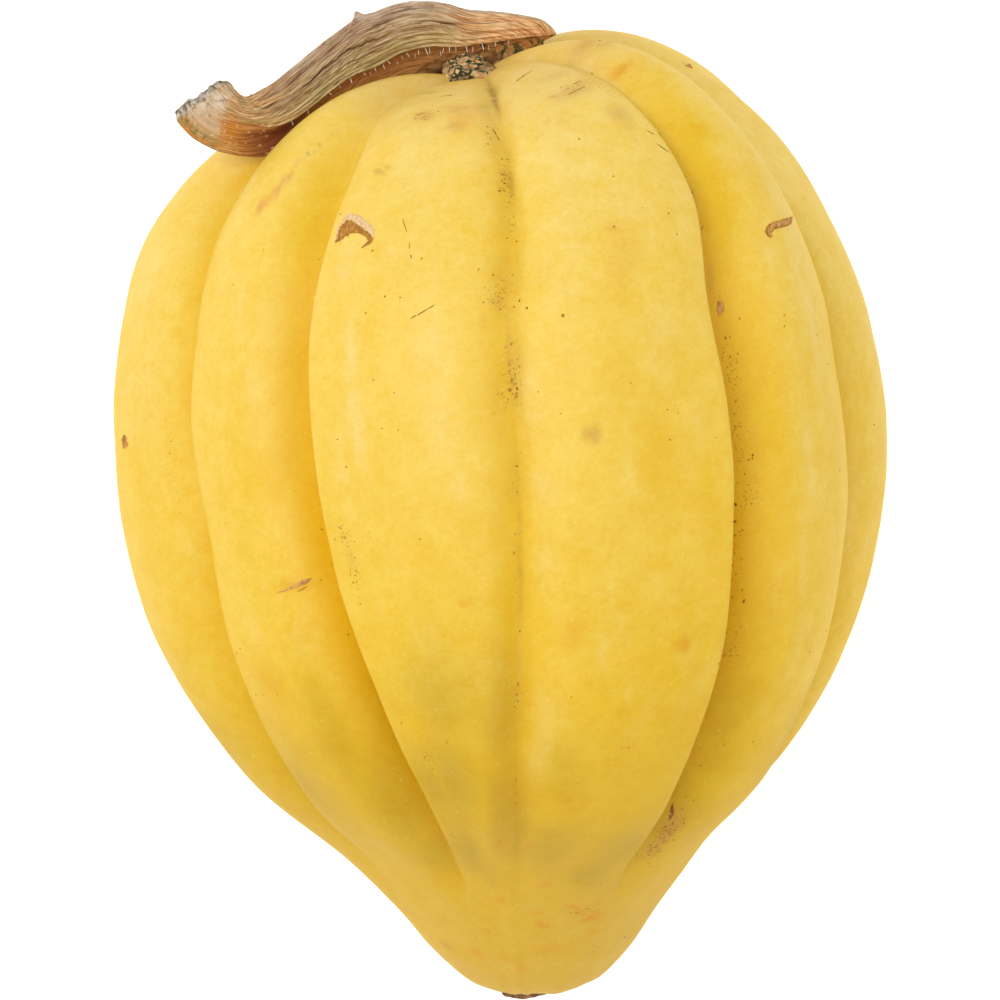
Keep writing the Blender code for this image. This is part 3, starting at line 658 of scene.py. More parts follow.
# fine mottling and pin pricks
meso = n.noise(1150, 2, 0.6)
spot = n.noise(250, 3, 0.6, 0.2)
marble = n.noise(70, 5, 0.62, 1.2)
mottle = n.math('ADD', 0.5, n.math('MULTIPLY', n.math('SUBTRACT', spot, 0.5), 0.95))
mottle = n.math('ADD', mottle, n.math('MULTIPLY', n.math('SUBTRACT', marble, 0.5), 0.75))
mottle = n.math('ADD', mottle, n.math('MULTIPLY', n.math('SUBTRACT', fine, 0.5), 0.75))
mottle = n.math('ADD', mottle, n.math('MULTIPLY', n.math('SUBTRACT', meso, 0.5), 0.75))
mottle = n.math('ADD', mottle, n.math('MULTIPLY', n.math('SUBTRACT', grain, 0.5), 0.55), clamp=True)
col = n.mix(1.0, col, n.mix(mottle, (0.965, 0.90, 0.46), (1.035, 1.10, 1.54)), 'MULTIPLY')
pricks = n.ramp(n.voronoi(330, randomness=1.0), 0.060, 0.02)
col = layer(col, n.math('MULTIPLY', pricks, n.ramp(mid, 0.48, 0.60)), 0.45, srgb(184, 126, 24))
pale_pricks = n.ramp(n.voronoi(420, randomness=1.0, vector=n.vmath('ADD', n.coord, (0.5, 0.2, 0.9))), 0.11, 0.04)
col = layer(col, pale_pricks, 0.22, srgb(250, 228, 160))
n._set(n.shader.inputs["Base Color"], col)
rough = n.math('ADD', 0.48, n.math('MULTIPLY', n.math('SUBTRACT', fine, 0.5), 0.22))
rough = n.math('ADD', rough, n.math('MULTIPLY', n.attr("tan"), 0.2))
n._set(n.shader.inputs["Roughness"], rough)
# a waxy sheen that dies away at the edges
facing = n.tree.nodes.new("ShaderNodeLayerWeight")
facing.inputs["Blend"].default_value = 0.5
sheen = n.math('MULTIPLY', n.math('SUBTRACT', 1.0, facing.outputs["Facing"]), 0.30, clamp=True)
n._set(n.shader.inputs["Specular IOR Level"], sheen)
n._set(n.shader.inputs["Normal"], n.bump(grain, 0.00006, 0.30, n.bump(fine, 0.00018, 0.22)))
fruit.data.materials.append(n.mat)

# -------------------------------------------------------------------------- flecks and scabs
# all of them hug the skin: closed low lenses a few hundredths of a millimetre high


def on_skin(uu, ss_):
    """Position, outward normal, direction along the rib and round the ring at one point."""
    ds_, du_ = 0.002, 0.01
    grid = skin(np.array([uu - du_, uu, uu + du_]), np.array([ss_ - ds_, ss_, ss_ + ds_]), True)
    i_ = np.interp(ss_, s, np.arange(ROWS))
    c_ = np.interp(uu % RIBS, np.append(u, RIBS), np.arange(COLS + 1))
    i0, c0 = min(int(i_), ROWS - 2), int(c_)
    fi, fc = i_ - i0, c_ - c0
    bump_ = ((lumps[i0, c0 % COLS] * (1 - fc) + lumps[i0, (c0 + 1) % COLS] * fc) * (1 - fi)
             + (lumps[i0 + 1, c0 % COLS] * (1 - fc) + lumps[i0 + 1, (c0 + 1) % COLS] * fc) * fi)
    pos = grid[1, 1]
    lengthwise = grid[2, 1] - grid[0, 1]
    across = grid[1, 2] - grid[1, 0]
    lengthwise /= np.linalg.norm(lengthwise)
    across /= np.linalg.norm(across)
    out = np.cross(across, lengthwise)
    out /= np.linalg.norm(out)
    if (out * (pos - np.array([0, -10, 0]))).sum() < 0:
        out = -out
    return pos + out * bump_, out, lengthwise, across


class Lenses:
    def __init__(self):
        self.v, self.f, self.tone = [], [], []

    def add(self, uu, ss_, half_w, half_l, slant, tone, rng, high=0.05, sides=10):
        pos, out, lw, ac = on_skin(uu, ss_)
        c_, k_ = cos(slant), sin(slant)
        ax, ay = ac * c_ + lw * k_, lw * c_ - ac * k_
        wob_ = rng.uniform(0.72, 1.25, sides)
        base = len(self.v)
        for share, level in ((1.0, -0.30), (1.0, high * 0.25), (0.6, high)):
            for m_ in range(sides):
                a_ = tau * m_ / sides
                self.v.append(pos + (ax * half_w * cos(a_) + ay * half_l * sin(a_)) * wob_[m_] * share + out * (level + LIFT))
        self.v.append(pos + out * (high * 1.15 + LIFT))
        for r_ in range(2):
            for m_ in range(sides):
                a_, b_ = base + r_ * sides + m_, base + r_ * sides + (m_ + 1) % sides
                self.f.append((a_, b_, b_ + sides, a_ + sides))
        for m_ in range(sides):
            self.f.append((base + 2 * sides + m_, base + 2 * sides + (m_ + 1) % sides, base + 3 * sides))
        self.f.append(tuple(base + m_ for m_ in range(sides - 1, -1, -1)))
        self.tone += [tone] * (3 * sides + 1)

    def strip(self, line, widths, high, tone, rng, cols=7, step=0.35, ragged=0.15, edge=0.35):
        """A raised ribbon along a line of (u, s) points."""
        pts_ = [on_skin(*q_) for q_ in line]
        xyz_ = np.array([q_[0] for q_ in pts_])
        run_ = np.concatenate([[0], np.cumsum(np.linalg.norm(np.diff(xyz_, axis=0), axis=1))])
        count = max(int(run_[-1] / step), 6)
        where = np.linspace(0, run_[-1], count)
        uv_ = smooth(where, run_, np.array(line, float))
        wd_ = smooth(where, run_, np.array(widths, float))
        frames_ = [on_skin(a_, b_) for a_, b_ in uv_]
        P_ = np.array([q_[0] for q_ in frames_])
        N_ = np.array([q_[1] for q_ in frames_])
        D_ = np.gradient(P_, axis=0)
        D_ /= np.linalg.norm(D_, axis=1)[:, None]
        C_ = np.cross(N_, D_)
        base = len(self.v)
        jag = rng.uniform(-1, 1, (count, 2))
        for i_ in range(count):
            prof = np.linspace(-1, 1, cols)
            lo_w, hi_w = wd_[i_] * (1 + ragged * jag[i_, 0]), wd_[i_] * (1 + ragged * jag[i_, 1])
            for q_ in prof:
                w_ = q_ * (hi_w if q_ > 0 else lo_w)
                level = high * (1 - q_ * q_)**0.5 * (0.85 + 0.3 * rng.uniform()) if abs(q_) < 1 else -0.02
                self.v.append(P_[i_] + C_[i_] * w_ + N_[i_] * (level + LIFT))
                self.tone.append(tone + edge * abs(q_)**3)
            for q_ in prof[::-1]:
                w_ = q_ * (hi_w if q_ > 0 else lo_w)
                self.v.append(P_[i_] + C_[i_] * w_ - N_[i_] * 0.30)
                self.tone.append(tone)
        per = 2 * cols
        for i_ in range(count - 1):
            for m_ in range(per):
                a_, b_ = base + i_ * per + m_, base + i_ * per + (m_ + 1) % per
                self.f.append((a_, b_, b_ + per, a_ + per))
        self.f.append(tuple(base + m_ for m_ in range(per)))
        self.f.append(tuple(base + (count - 1) * per + m_ for m_ in range(per - 1, -1, -1)))

    def build(self, name):
        obj = make_mesh(name, world(lay_down(np.array(self.v))), self.f)
        add_attribute(obj, "tone", np.array(self.tone))
        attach(obj, "root")
        return obj


LIFT = 0.01
PX = 0.155
rng = np.random.default_rng(91)
flecks = Lenses()
# single dots: u, s, size
DOTS = [(3.41, 0.202, 2), (3.51, 0.240, 2), (3.74, 0.277, 2), (3.77, 0.293, 2), (2.46, 0.310, 2), (2.53, 0.311, 2),
        (2.38, 0.322, 2), (2.42, 0.369, 1.5), (2.51, 0.378, 1.5), (2.44, 0.403, 1.5), (2.51, 0.404, 1.5),
        (2.25, 0.431, 2), (2.22, 0.412, 2), (3.08, 0.324, 3), (3.23, 0.334, 3), (4.38, 0.364, 2), (4.37, 0.371, 2),
        (4.16, 0.359, 2.5), (4.13, 0.382, 2), (4.09, 0.430, 2), (4.11, 0.431, 2), (3.63, 0.406, 2), (3.63, 0.426, 2),
        (4.73, 0.400, 2), (4.73, 0.472, 2), (5.33, 0.451, 2), (1.86, 0.569, 2), (1.18, 0.578, 2), (1.13, 0.584, 2),
        (1.17, 0.618, 1.5), (1.25, 0.614, 1.5), (1.37, 0.610, 1.5), (2.17, 0.625, 2), (2.50, 0.640, 2),
        (4.69, 0.589, 2), (4.54, 0.599, 2), (4.22, 0.674, 3), (4.35, 0.670, 2), (4.16, 0.696, 2), (3.57, 0.652, 2),
        (1.95, 0.279, 2), (1.88, 0.486, 2), (4.12, 0.464, 2), (3.92, 0.590, 2), (2.99, 0.769, 2), (3.56, 0.805, 1.5),
        (3.78, 0.815, 1.5), (2.64, 0.107, 3), (3.33, 0.101, 3), (3.99, 0.124, 3), (4.43, 0.108, 3),
        (3.46, 0.278, 2.6), (2.10, 0.245, 2), (2.60, 0.283, 2), (2.36, 0.276, 2.4), (6.1, 0.3, 2.5), (6.6, 0.42, 2),
        (7.3, 0.5, 2.5), (7.7, 0.38, 2), (8.3, 0.45, 2), (8.8, 0.55, 2.5), (9.3, 0.4, 2), (9.7, 0.3, 2),
        (9.5, 0.6, 2.2), (8.5, 0.25, 2.4), (6.9, 0.6, 2), (7.5, 0.68, 2)]
for uu, ss_, px_ in DOTS:
    flecks.add(uu, ss_, px_ * PX * rng.uniform(0.36, 0.52), px_ * PX * rng.uniform(0.40, 0.60), rng.uniform(0, 3),
               rng.uniform(0.45, 0.95), rng)
# clusters: u, s, spread across and along in mm, how many
CLUSTERS = [(2.91, 0.169, 0.5, 1.6, 5), (2.98, 0.216, 0.5, 3, 12), (2.94, 0.316, 1.6, 2.4, 8),
            (3.01, 0.373, 0.6, 2.4, 10), (3.01, 0.3, 0.5, 6, 5), (2.99, 0.46, 0.7, 6, 5), (2.99, 0.614, 0.4, 2, 4),
            (2.2, 0.493, 0.9, 4, 6), (3.97, 0.211, 0.3, 0.5, 3), (3.96, 0.226, 0.3, 0.8, 4),
            (4.01, 0.256, 0.6, 1.2, 4), (4.01, 0.285, 0.4, 1.2, 4), (4.09, 0.37, 0.8, 5, 9), (4.11, 0.5, 1.1, 9, 20),
            (4.17, 0.765, 0.5, 3.5, 14), (4.16, 0.785, 1.2, 2, 12), (2.49, 0.142, 1, 1.4, 6),
            (5.08, 0.4, 0.8, 16, 8), (6, 0.5, 0.8, 16, 8), (8, 0.4, 0.8, 16, 8), (9, 0.5, 0.8, 16, 8),
            (7, 0.45, 0.8, 14, 8)]
for uu, ss_, wide, tall, many in CLUSTERS:
    ring_mm = float(np.interp(ss_, s, total[:, 0])) / RIBS
    for k in range(many):
        du_, dv_ = rng.normal(0, wide) / ring_mm, rng.normal(0, tall) / LENGTH
        size_ = rng.uniform(0.07, 0.16) * (1.6 if rng.uniform() < 0.12 else 1.0)
        flecks.add(uu + du_, float(np.clip(ss_ + dv_, 0.05, 0.95)), size_, size_ * rng.uniform(0.8, 1.9), rng.normal(0, 0.4),
                   rng.uniform(0.15, 0.9), rng, high=0.02, sides=7)
# a thin scatter everywhere
for k in range(150):
    uu, ss_ = rng.uniform(0, RIBS), rng.uniform(0.10, 0.9)
    size_ = rng.uniform(0.06, 0.13)
    flecks.add(uu, ss_, size_, size_ * rng.uniform(0.8, 1.5), rng.uniform(0, 3), rng.uniform(0.7, 1.0), rng, high=0.02, sides=7)
# little dashes and scratches: u, s, half length, slant from lengthwise
for uu, ss_, half_l, slant, tone in ((2.49, 0.2535, 0.8, -0.40, 0.75), (2.505, 0.2585, 0.7, -0.40, 0.7), (2.535, 0.2725, 0.5, -0.1, 0.8),
                                     (2.55, 0.281, 0.35, -0.4, 0.4), (2.595, 0.325, 0.5, 1.0, 0.35), (2.63, 0.322, 0.9, 1.05, 0.25),
                                     (2.665, 0.3185, 0.6, 1.1, 0.5), (3.34, 0.101, 1.6, 1.0, 0.3), (2.60, 0.107, 0.8, 1.4, 0.4),
                                     (3.87, 0.2115, 0.7, -0.7, 0.2), (3.88, 0.226, 1.2, -0.6, 0.1), (2.95, 0.166, 0.8, -0.3, 0.0),
                                     (2.965, 0.173, 0.6, -0.3, 0.1), (1.72, 0.5275, 0.8, 1.2, 0.6), (3.94, 0.2145, 0.5, -0.9, 0.2),
                                     (3.58, 0.151, 1.6, 1.3, 0.45), (3.66, 0.14, 0.9, 1.2, 0.5), (2.46, 0.138, 0.6, 0.9, 0.5)):
    flecks.add(uu, ss_, 0.085, half_l, slant, tone, rng, high=0.02, sides=14)
fleck_obj = flecks.build("rind_flecks")
n = Nodes("fleck")
tone = n.attr("tone")
col = n.mix(tone, srgb(104, 68, 18), srgb(216, 160, 40))
col = n.mix(n.math('MULTIPLY', n.ramp(n.noise(2600, 2), 0.42, 0.62), 0.5), col, srgb(150, 100, 28))
n._set(n.shader.inputs["Base Color"], col)
n.shader.inputs["Roughness"].default_value = 0.7
n.shader.inputs["Specular IOR Level"].default_value = 0.2
n._set(n.shader.inputs["Normal"], n.bump(n.noise(3000, 2), 0.00004, 0.4))
fleck_obj.data.materials.append(n.mat)

rng = np.random.default_rng(92)
scabs = Lenses()
# the crescent: a fibrous brown body with a thin hook, and a pale lifted rim outside it
scabs.strip([(2.13, 0.270), (2.125, 0.262), (2.13, 0.253), (2.16, 0.247), (2.20, 0.249), (2.25, 0.252), (2.30, 0.256),
             (2.34, 0.262), (2.35, 0.266)],
            [0.14, 0.24, 0.32, 0.36, 0.60, 0.66, 0.55, 0.34, 0.10], 0.10, 1.35, rng, cols=9, step=0.15, ragged=0.25, edge=-0.15)
scabs.strip([(2.13, 0.2695), (2.15, 0.266), (2.17, 0.260), (2.20, 0.2575), (2.24, 0.2585), (2.28, 0.2605), (2.32, 0.264),
             (2.34, 0.268), (2.32, 0.271), (2.30, 0.274)],
            [0.12, 0.60, 1.32, 1.32, 0.68, 0.40, 0.38, 0.36, 0.20, 0.05], 0.17, 0.38, rng, cols=11, step=0.12, ragged=0.25, edge=-0.12)
# the bent scar by the edge of the rib: pale in the middle, brown round it
scabs.strip([(4.40, 0.3125), (4.39, 0.309), (4.415, 0.3065), (4.48, 0.3057), (4.55, 0.3047), (4.61, 0.3030), (4.66, 0.300)],
            [0.30, 0.50, 0.56, 0.52, 0.54, 0.44, 0.12], 0.22, 0.68, rng, cols=11, step=0.15, ragged=0.18, edge=-0.60)
scabs.strip([(4.09, 0.3435), (4.088, 0.348), (4.08, 0.3525)], [0.30, 0.62, 0.15], 0.16, 0.85, rng, cols=9, step=0.15, edge=-0.6)
scabs.strip([(1.56, 0.5285), (1.61, 0.5275), (1.66, 0.5255), (1.71, 0.5235), (1.75, 0.522), (1.78, 0.5205)],
            [0.06, 0.12, 0.20, 0.30, 0.36, 0.10], 0.05, 0.72, rng, step=0.15, ragged=0.3, edge=0.3)
scabs.strip([(0.61, 0.4285), (0.61, 0.4335), (0.60, 0.438)], [0.5, 1.15, 0.3], 0.10, 0.42, rng, step=0.2, ragged=0.3)
scabs.strip([(4.585, 0.893), (4.60, 0.8945), (4.62, 0.896)], [0.25, 0.55, 0.2], 0.10, 1.0, rng, step=0.15)
scabs.strip([(4.105, 0.7365), (4.12, 0.744), (4.13, 0.752)], [0.15, 0.4, 0.15], 0.08, 0.05, rng, step=0.2, ragged=0.3)
scabs.strip([(6.17, 0.163), (6.20, 0.168), (6.24, 0.170)], [0.2, 0.5, 0.2], 0.10, 0.4, rng, step=0.2, ragged=0.3)
scabs.strip([(7.6, 0.42), (7.64, 0.426), (7.70, 0.428)], [0.2, 0.5, 0.2], 0.10, 0.4, rng, step=0.2, ragged=0.3)
scab_obj = scabs.build("rind_scabs")
n = Nodes("scab")
tone = n.attr("tone")
col = n.mix(n.ramp(tone, 0.0, 0.5, False), srgb(126, 76, 24), srgb(204, 142, 56))
col = n.mix(n.ramp(tone, 0.5, 0.95, False), col, srgb(218, 178, 116))
col = n.mix(n.ramp(tone, 1.0, 1.3, False), col, srgb(238, 202, 150))
streaky = n.noise(1500, 3, 0.65, vector=n.vmath('MULTIPLY', n.coord, (1.9, 0.55, 1.2)))
col = n.mix(n.math('MULTIPLY', n.ramp(streaky, 0.46, 0.62), n.math('SUBTRACT', 0.80, n.math('MULTIPLY', tone, 0.40))), col, srgb(148, 82, 26))
col = n.mix(n.math('MULTIPLY', n.ramp(streaky, 0.45, 0.30), 0.55), col, srgb(238, 190, 104))
n._set(n.shader.inputs["Base Color"], col)
n.shader.inputs["Roughness"].default_value = 0.75
n.shader.inputs["Specular IOR Level"].default_value = 0.2
n._set(n.shader.inputs["Normal"], n.bump(n.noise(1900, 3), 0.00012, 0.6))
scab_obj.data.materials.append(n.mat)

# =====================================================================================
# Stem: a dried limb that is bent over at the knee, lies to the left across the crown and
# ends in a flared, cut boot.  Each station gives, in mm about the axis' middle, the
# upper edge (x, y), the sharp keel (x, y) and the lower edge (x, y) of one section seen
# from above, and the height of its middle.
# =====================================================================================
STEM_STATIONS = [
    (10.3, 57, 10.2, 56.8, 10.1, 56.6, 10),
    (9.6, 58, 8.7, 56.6, 8.3, 55.9, 10),
    (8, 59.1, 7.1, 56.3, 6.4, 55.1, 10),
    (5.7, 59.7, 4.7, 55.9, 4.1, 54.1, 10),
    (3, 60.2, 2, 55.4, 1.6, 53.4, 10),
    (0.2, 60.6, -0.5, 55.1, -1, 52.6, 9.7),
    (-2.8, 61.1, -3.4, 54.8, -3.7, 52.2, 9.4),
    (-5.6, 62.2, -5.9, 55, -6.2, 51.9, 9.1),
    (-8.5, 62.8, -8.2, 55.1, -8.2, 50.9, 9.2),
    (-11.4, 62.8, -10.9, 54.7, -10.3, 50.1, 9.7),
    (-14.4, 62.2, -13.5, 54, -12.5, 49.8, 10.5),
    (-17.1, 61.1, -16, 52.8, -14.8, 49.4, 11.7),
    (-19.3, 60.5, -18.1, 51.8, -16.6, 48.8, 12.6),
    (-21.7, 58.9, -20.2, 50.9, -18.7, 48.4, 14),
    (-24.3, 57, -22.2, 49.8, -21, 48.3, 15.4),
    (-27.1, 54.8, -24.3, 48.6, -23.1, 47.1, 16.9),
    (-29.7, 52.8, -26.4, 47, -25.4, 45.6, 18.5),
    (-32.1, 51, -28.6, 45.6, -27.4, 44, 19.8),
    (-34, 49.8, -30.6, 44.6, -29.2, 42.2, 20.8),
    (-35.4, 48.9, -32.8, 44.1, -31.5, 40.5, 21.8),
    (-36.3, 48.6, -35.1, 44.4, -34.5, 39.7, 22.3),
    (-37, 48.8, -37, 44.8, -37.3, 39.9, 22.6),
    (-37.5, 49.3, -38.5, 45.2, -39.6, 40.4, 22.8),
    (-38, 49.8, -39.8, 45.6, -42.1, 41.4, 22.6),
    (-38.2, 50.3, -41, 46.6, -45.0, 43.5, 22.4),
    (-38.5, 50.6, -42.2, 47.9, -46.5, 46.6, 22)]
# half thickness towards the viewer and away from it, sharpness of the keel (1 = keeled,
# 0 = round) and how far the near side runs on past the far side, at chosen stations
STEM_AT = [0, 1, 3, 6, 9, 12, 15, 18, 20, 21, 23, 25]
STEM_NEAR = [0.3, 1.3, 3.2, 4.4, 5.0, 4.8, 4.0, 4.0, 4.3, 4.5, 4.7, 4.6]
STEM_FAR = [0.3, 1.3, 3.0, 4.2, 4.6, 4.4, 3.6, 3.6, 4.0, 4.2, 4.4, 4.4]
STEM_KEEL = [0.3, 0.6, 0.9, 1, 1, 1, 1, 1, 0.75, 0.45, 0.1, 0]
STEM_LEAN = [0, 0, 0, 0, 0, 0, 0, 0, 0, 0.1, 0.6, 1.0]
stem_rings = 330
UPPER, UNDER, BACK = ((124, 64, 60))


def bezier(a, b, c, d, q):
    """Cubic curve; a to d are (rings, 3), q is (samples,)."""
    q = q[None, :, None]
    return (a[:, None] * (1 - q)**3 + 3 * b[:, None] * q * (1 - q)**2
            + 3 * c[:, None] * q**2 * (1 - q) + d[:, None] * q**3)


def even(curve, count):
    """The same curves with evenly spaced points, without the last one."""
    step = np.linalg.norm(np.diff(curve, axis=1), axis=-1)
    run = np.concatenate([np.zeros((len(curve), 1)), np.cumsum(step, axis=1)], 1)
    run /= np.maximum(run[:, -1:], 1e-9)
    want = np.arange(count) / count
    return np.stack([np.stack([np.interp(want, r, c[:, k]) for k in range(3)], -1)
                     for r, c in zip(run, curve)])


st = np.array(STEM_STATIONS, float)
tk = np.linspace(0, len(st) - 1, stem_rings)              # position in stations
tk = tk + 0.0
row = smooth(tk, np.arange(len(st)), st)
near, far, keel, lean = (smooth(tk, STEM_AT, v)[:, None] for v in (STEM_NEAR, STEM_FAR, STEM_KEEL, STEM_LEAN))
zc = row[:, 6:7]
T, R, B = row[:, 0:2], row[:, 2:4].copy(), row[:, 4:6]
R[:, 1] += 0.75 * np.clip(np.minimum((tk - 1) / 3, (17 - tk) / 3), 0, 1)   # room for the ribs beside the keel
z_keel = near * (0.50 * keel + 0.95 * (1 - keel))
z_low = -0.35 * far * keel
T3 = np.hstack([T, zc])
R3 = np.hstack([R, zc + z_keel])
B3 = np.hstack([B, zc + z_low])
mid_TR = (T + R) / 2


def at(xy_a, xy_b, share, z):
    return np.hstack([xy_a + (xy_b - xy_a) * share, zc + z])


q = np.linspace(0, 1, 240)
top_curve = bezier(T3, at(T, R, 0.02, 0.95 * near), at(T, R, 0.60, near * (1.22 * keel + 1.12 * (1 - keel))), R3, q)
drop = z_keel - z_low
under_a = keel * 0.03 + (1 - keel) * 0.35
under_az = z_keel - drop * (0.85 * keel) + (1 - keel) * 0.02 * near
under_b = keel * 0.45 + (1 - keel) * 1.0
under_bz = z_low + drop * (0.10 * keel + 0.62 * (1 - keel))
under_curve = bezier(R3, at(R, B, under_a, under_az), at(R, B, under_b, under_bz), B3, q)
back_curve = bezier(B3, at(B, T, 0.02, -1.25 * far), at(B, T, 0.98, -1.25 * far), T3, q)
limb = np.concatenate([even(top_curve, UPPER), even(under_curve, UNDER), even(back_curve, BACK)], 1)
SIDES = limb.shape[1]
# v: 0..1 upper face, 1..2 under face, 2..3 back
v = np.concatenate([np.arange(UPPER) / UPPER, 1 + np.arange(UNDER) / UNDER, 2 + np.arange(BACK) / BACK])
centre = limb.mean(1)
run = np.gradient(centre, axis=0)
run /= np.linalg.norm(run, axis=1)[:, None]
limb_up = (limb[..., 2] - zc) / np.maximum(near, 0.3)
limb = limb + (run * lean)[:, None] * np.clip(limb_up, -0.4, 1)[..., None]

# the width in mm, both ways, for patterns that keep their size
girth = np.linalg.norm(np.roll(limb, -1, 1) - limb, axis=-1)
v_mm = np.cumsum(girth, axis=1)
t_mm = np.concatenate([[0], np.cumsum(np.linalg.norm(np.diff(centre, axis=0), axis=1))])
TT, VV = np.broadcast_to(tk[:, None], limb.shape[:2]), np.broadcast_to(v[None], limb.shape[:2])
width = girth.sum(1, keepdims=True)


def bell(x, at_x, sigma):
    return np.exp(-((x - at_x) / sigma)**2)


def step_up(x, lo, hi):
    t_ = np.clip((x - lo) / (hi - lo), 0, 1)
    return t_ * t_ * (3 - 2 * t_)


def limb_noise(t_cells, v_cells, seed):
    return lattice_noise((stem_rings, SIDES), (t_cells, v_cells), seed, True)


size = np.clip(width / 26.0, 0.05, 1.0)                   # details shrink towards the tip
coarse_ridge = limb_noise(7, 30, 21)
ridge = limb_noise(9, 62, 22)
fibre = limb_noise(26, 105, 23)
grit = limb_noise(150, 90, 24)
thread = limb_noise(16, 150, 28)
h = size * (0.15 * coarse_ridge + 0.19 * ridge + 0.15 * fibre + 0.13 * thread + 0.04 * grit)
# smoother underneath
under = step_up(VV, 0.99, 1.03) * (1 - step_up(VV, 2.3, 2.6))
h = h * (1 - 0.55 * under)
# three fine pale ribs beside the keel
for at_v, high in ((0.985, 0.30), (0.91, 0.22), (0.845, 0.18), (0.76, 0.14)):
    line = at_v + 0.006 * np.sin(TT * 1.7 + at_v * 40)
    h = h + size * high * bell(VV, line, 0.018) * step_up(TT, 1.0, 3.0) * (1 - step_up(TT, 19, 23))
# flow lines of the boot
for at_v in (0.30, 0.44, 0.58, 0.70, 0.82, 0.93, 1.06, 1.20, 1.34):
    line = at_v + 0.010 * np.sin(TT * 1.3 + at_v * 25)
    h = h + 0.13 * bell(VV, line, 0.020) * step_up(TT, 17.5, 19.0) * (1 - step_up(TT, 22.6, 23.8))
# converging ribs of the orange knee
knee = (1 - step_up(TT, 4.5, 8.0)) * step_up(1.02 - VV, 0, 0.05)
h = h * (1 - 0.55 * knee)
h = h + size * 0.20 * knee * np.sin(VV * 48 + 0.5 * np.sin(TT * 0.6 + VV * 4)) * step_up(TT, 0.0, 2.0)
# the outer sheet has split from the strip below it
crack_v = 0.60 + 0.018 * np.sin(TT * 1.3) + 0.010 * np.sin(TT * 4.1 + 1) + 0.006 * np.sin(TT * 11)
crack_on = step_up(TT, 10.4, 11.6) * (1 - step_up(TT, 15.4, 17.4))
sheet = (1 - step_up(VV, crack_v - 0.012, crack_v + 0.012)) * step_up(VV, crack_v - 0.35, crack_v)
slot = bell(VV, crack_v + 0.014, 0.012)
h = h + crack_on * (0.36 * sheet - 0.30 * slot)
lip = bell(VV, crack_v - 0.02, 0.012) * crack_on * (0.5 + 0.5 * limb_noise(40, 3, 25))
h = h + 0.22 * lip
# small cracks that run along it
cracks = np.zeros_like(h)
for c_t, c_v, c_len, c_w in ((13.5, 0.30, 2.4, 0.008), (15.6, 0.44, 2.0, 0.008), (10.8, 0.46, 2.2, 0.009),
                             (7.6, 0.60, 1.8, 0.010), (16.8, 0.80, 2.0, 0.008), (12.4, 0.78, 1.6, 0.008),
                             (8.9, 0.33, 1.6, 0.008), (5.0, 0.55, 1.6, 0.014), (3.2, 0.35, 1.2, 0.014),
                             (18.4, 0.58, 1.3, 0.010), (14.6, 0.90, 1.2, 0.006), (11.9, 0.20, 1.3, 0.008)):
    wave = c_v + 0.012 * np.sin(TT * 3.3 + c_t * 7)
    cracks = np.maximum(cracks, bell(VV, wave, c_w) * step_up(c_len - np.abs(TT - c_t), 0, 0.7 * c_len))
h = h - 0.40 * cracks * size
# the torn flap on the far edge and the fold that runs down from it
flap = bell(TT, 11.93, 0.20) * bell(VV, 0.02, 0.10)
h = h + 0.75 * flap
fold = bell(TT, 11.98 + 1.9 * VV, 0.12) * step_up(0.42 - VV, 0, 0.25) * step_up(VV, -0.01, 0.03)
h = h + 0.45 * fold
h = h + 0.40 * bell(TT, 19.15, 0.16) * bell(VV, 0.0, 0.05)   # a nub in the hollow of the bend
# rough rim of the cut end
rim_zone = step_up(TT, 24.2, 24.9)
h = h + rim_zone * (0.12 * limb_noise(160, 60, 26) + 0.12 * limb_noise(60, 24, 27))
h = h + 0.45 * bell(TT, 24.7, 0.5) * bell(VV, 1.93, 0.16) - 0.55 * bell(TT, 25, 0.30) * bell(VV, 1.52, 0.05)
# warts of the boot's under side
rng = np.random.default_rng(31)
dots = np.zeros_like(h)
for k in range(26):
    dt, dv = rng.uniform(19.3, 24.2), rng.uniform(1.12, 1.95)
    dots = np.maximum(dots, bell(TT, dt, 0.07) * bell(VV, dv, 0.022) * rng.uniform(0.5, 1))
h = h + 0.22 * dots

gu = np.roll(limb, -1, 1) - np.roll(limb, 1, 1)
gt = np.gradient(limb, axis=0)
nrm = np.cross(gu, gt)
nrm /= np.maximum(np.linalg.norm(nrm, axis=-1, keepdims=True), 1e-9)
if (nrm * (limb - centre[:, None])).sum(-1).mean() < 0:
    nrm = -nrm
# at the sharp keel the displacement stays along the section's own outward direction
h = h * step_up(tk, 0.0, 0.8)[:, None]
limb = limb + nrm * h[..., None]

# cut end: the rim turns inwards and closes over a sunken, rough face
edge = limb[-1]
mid = edge.mean(0)
inward = -run[-1]
end_rings = []
rng = np.random.default_rng(32)
rough_rim = lattice_noise((8, SIDES), (4, 40), 33, True)
for k, (share, deep) in enumerate(((0.97, -0.45), (0.90, -0.60), (0.82, -0.30), (0.74, 0.35), (0.62, 0.9), (0.45, 1.25), (0.25, 1.4))):
    ring = mid + (edge - mid) * share + inward * (deep + 0.28 * rough_rim[k][:, None])
    end_rings.append(ring)
all_rings = np.concatenate([limb, np.array(end_rings)], 0)
rings_n = len(all_rings)
poles = np.array([limb[0].mean(0) + np.array([0.15, 0, 0]), mid + inward * 1.4])
verts = np.vstack([all_rings.reshape(-1, 3), poles])
faces = [tuple(f) for f in grid_faces(rings_n, SIDES)]
a0, a1 = rings_n * SIDES, rings_n * SIDES + 1
faces += [(a0, (i + 1) % SIDES, i) for i in range(SIDES)]
faces += [(a1, (rings_n - 1) * SIDES + i, (rings_n - 1) * SIDES + (i + 1) % SIDES) for i in range(SIDES)]
stem = make_mesh("stem_limb", world(verts), faces)


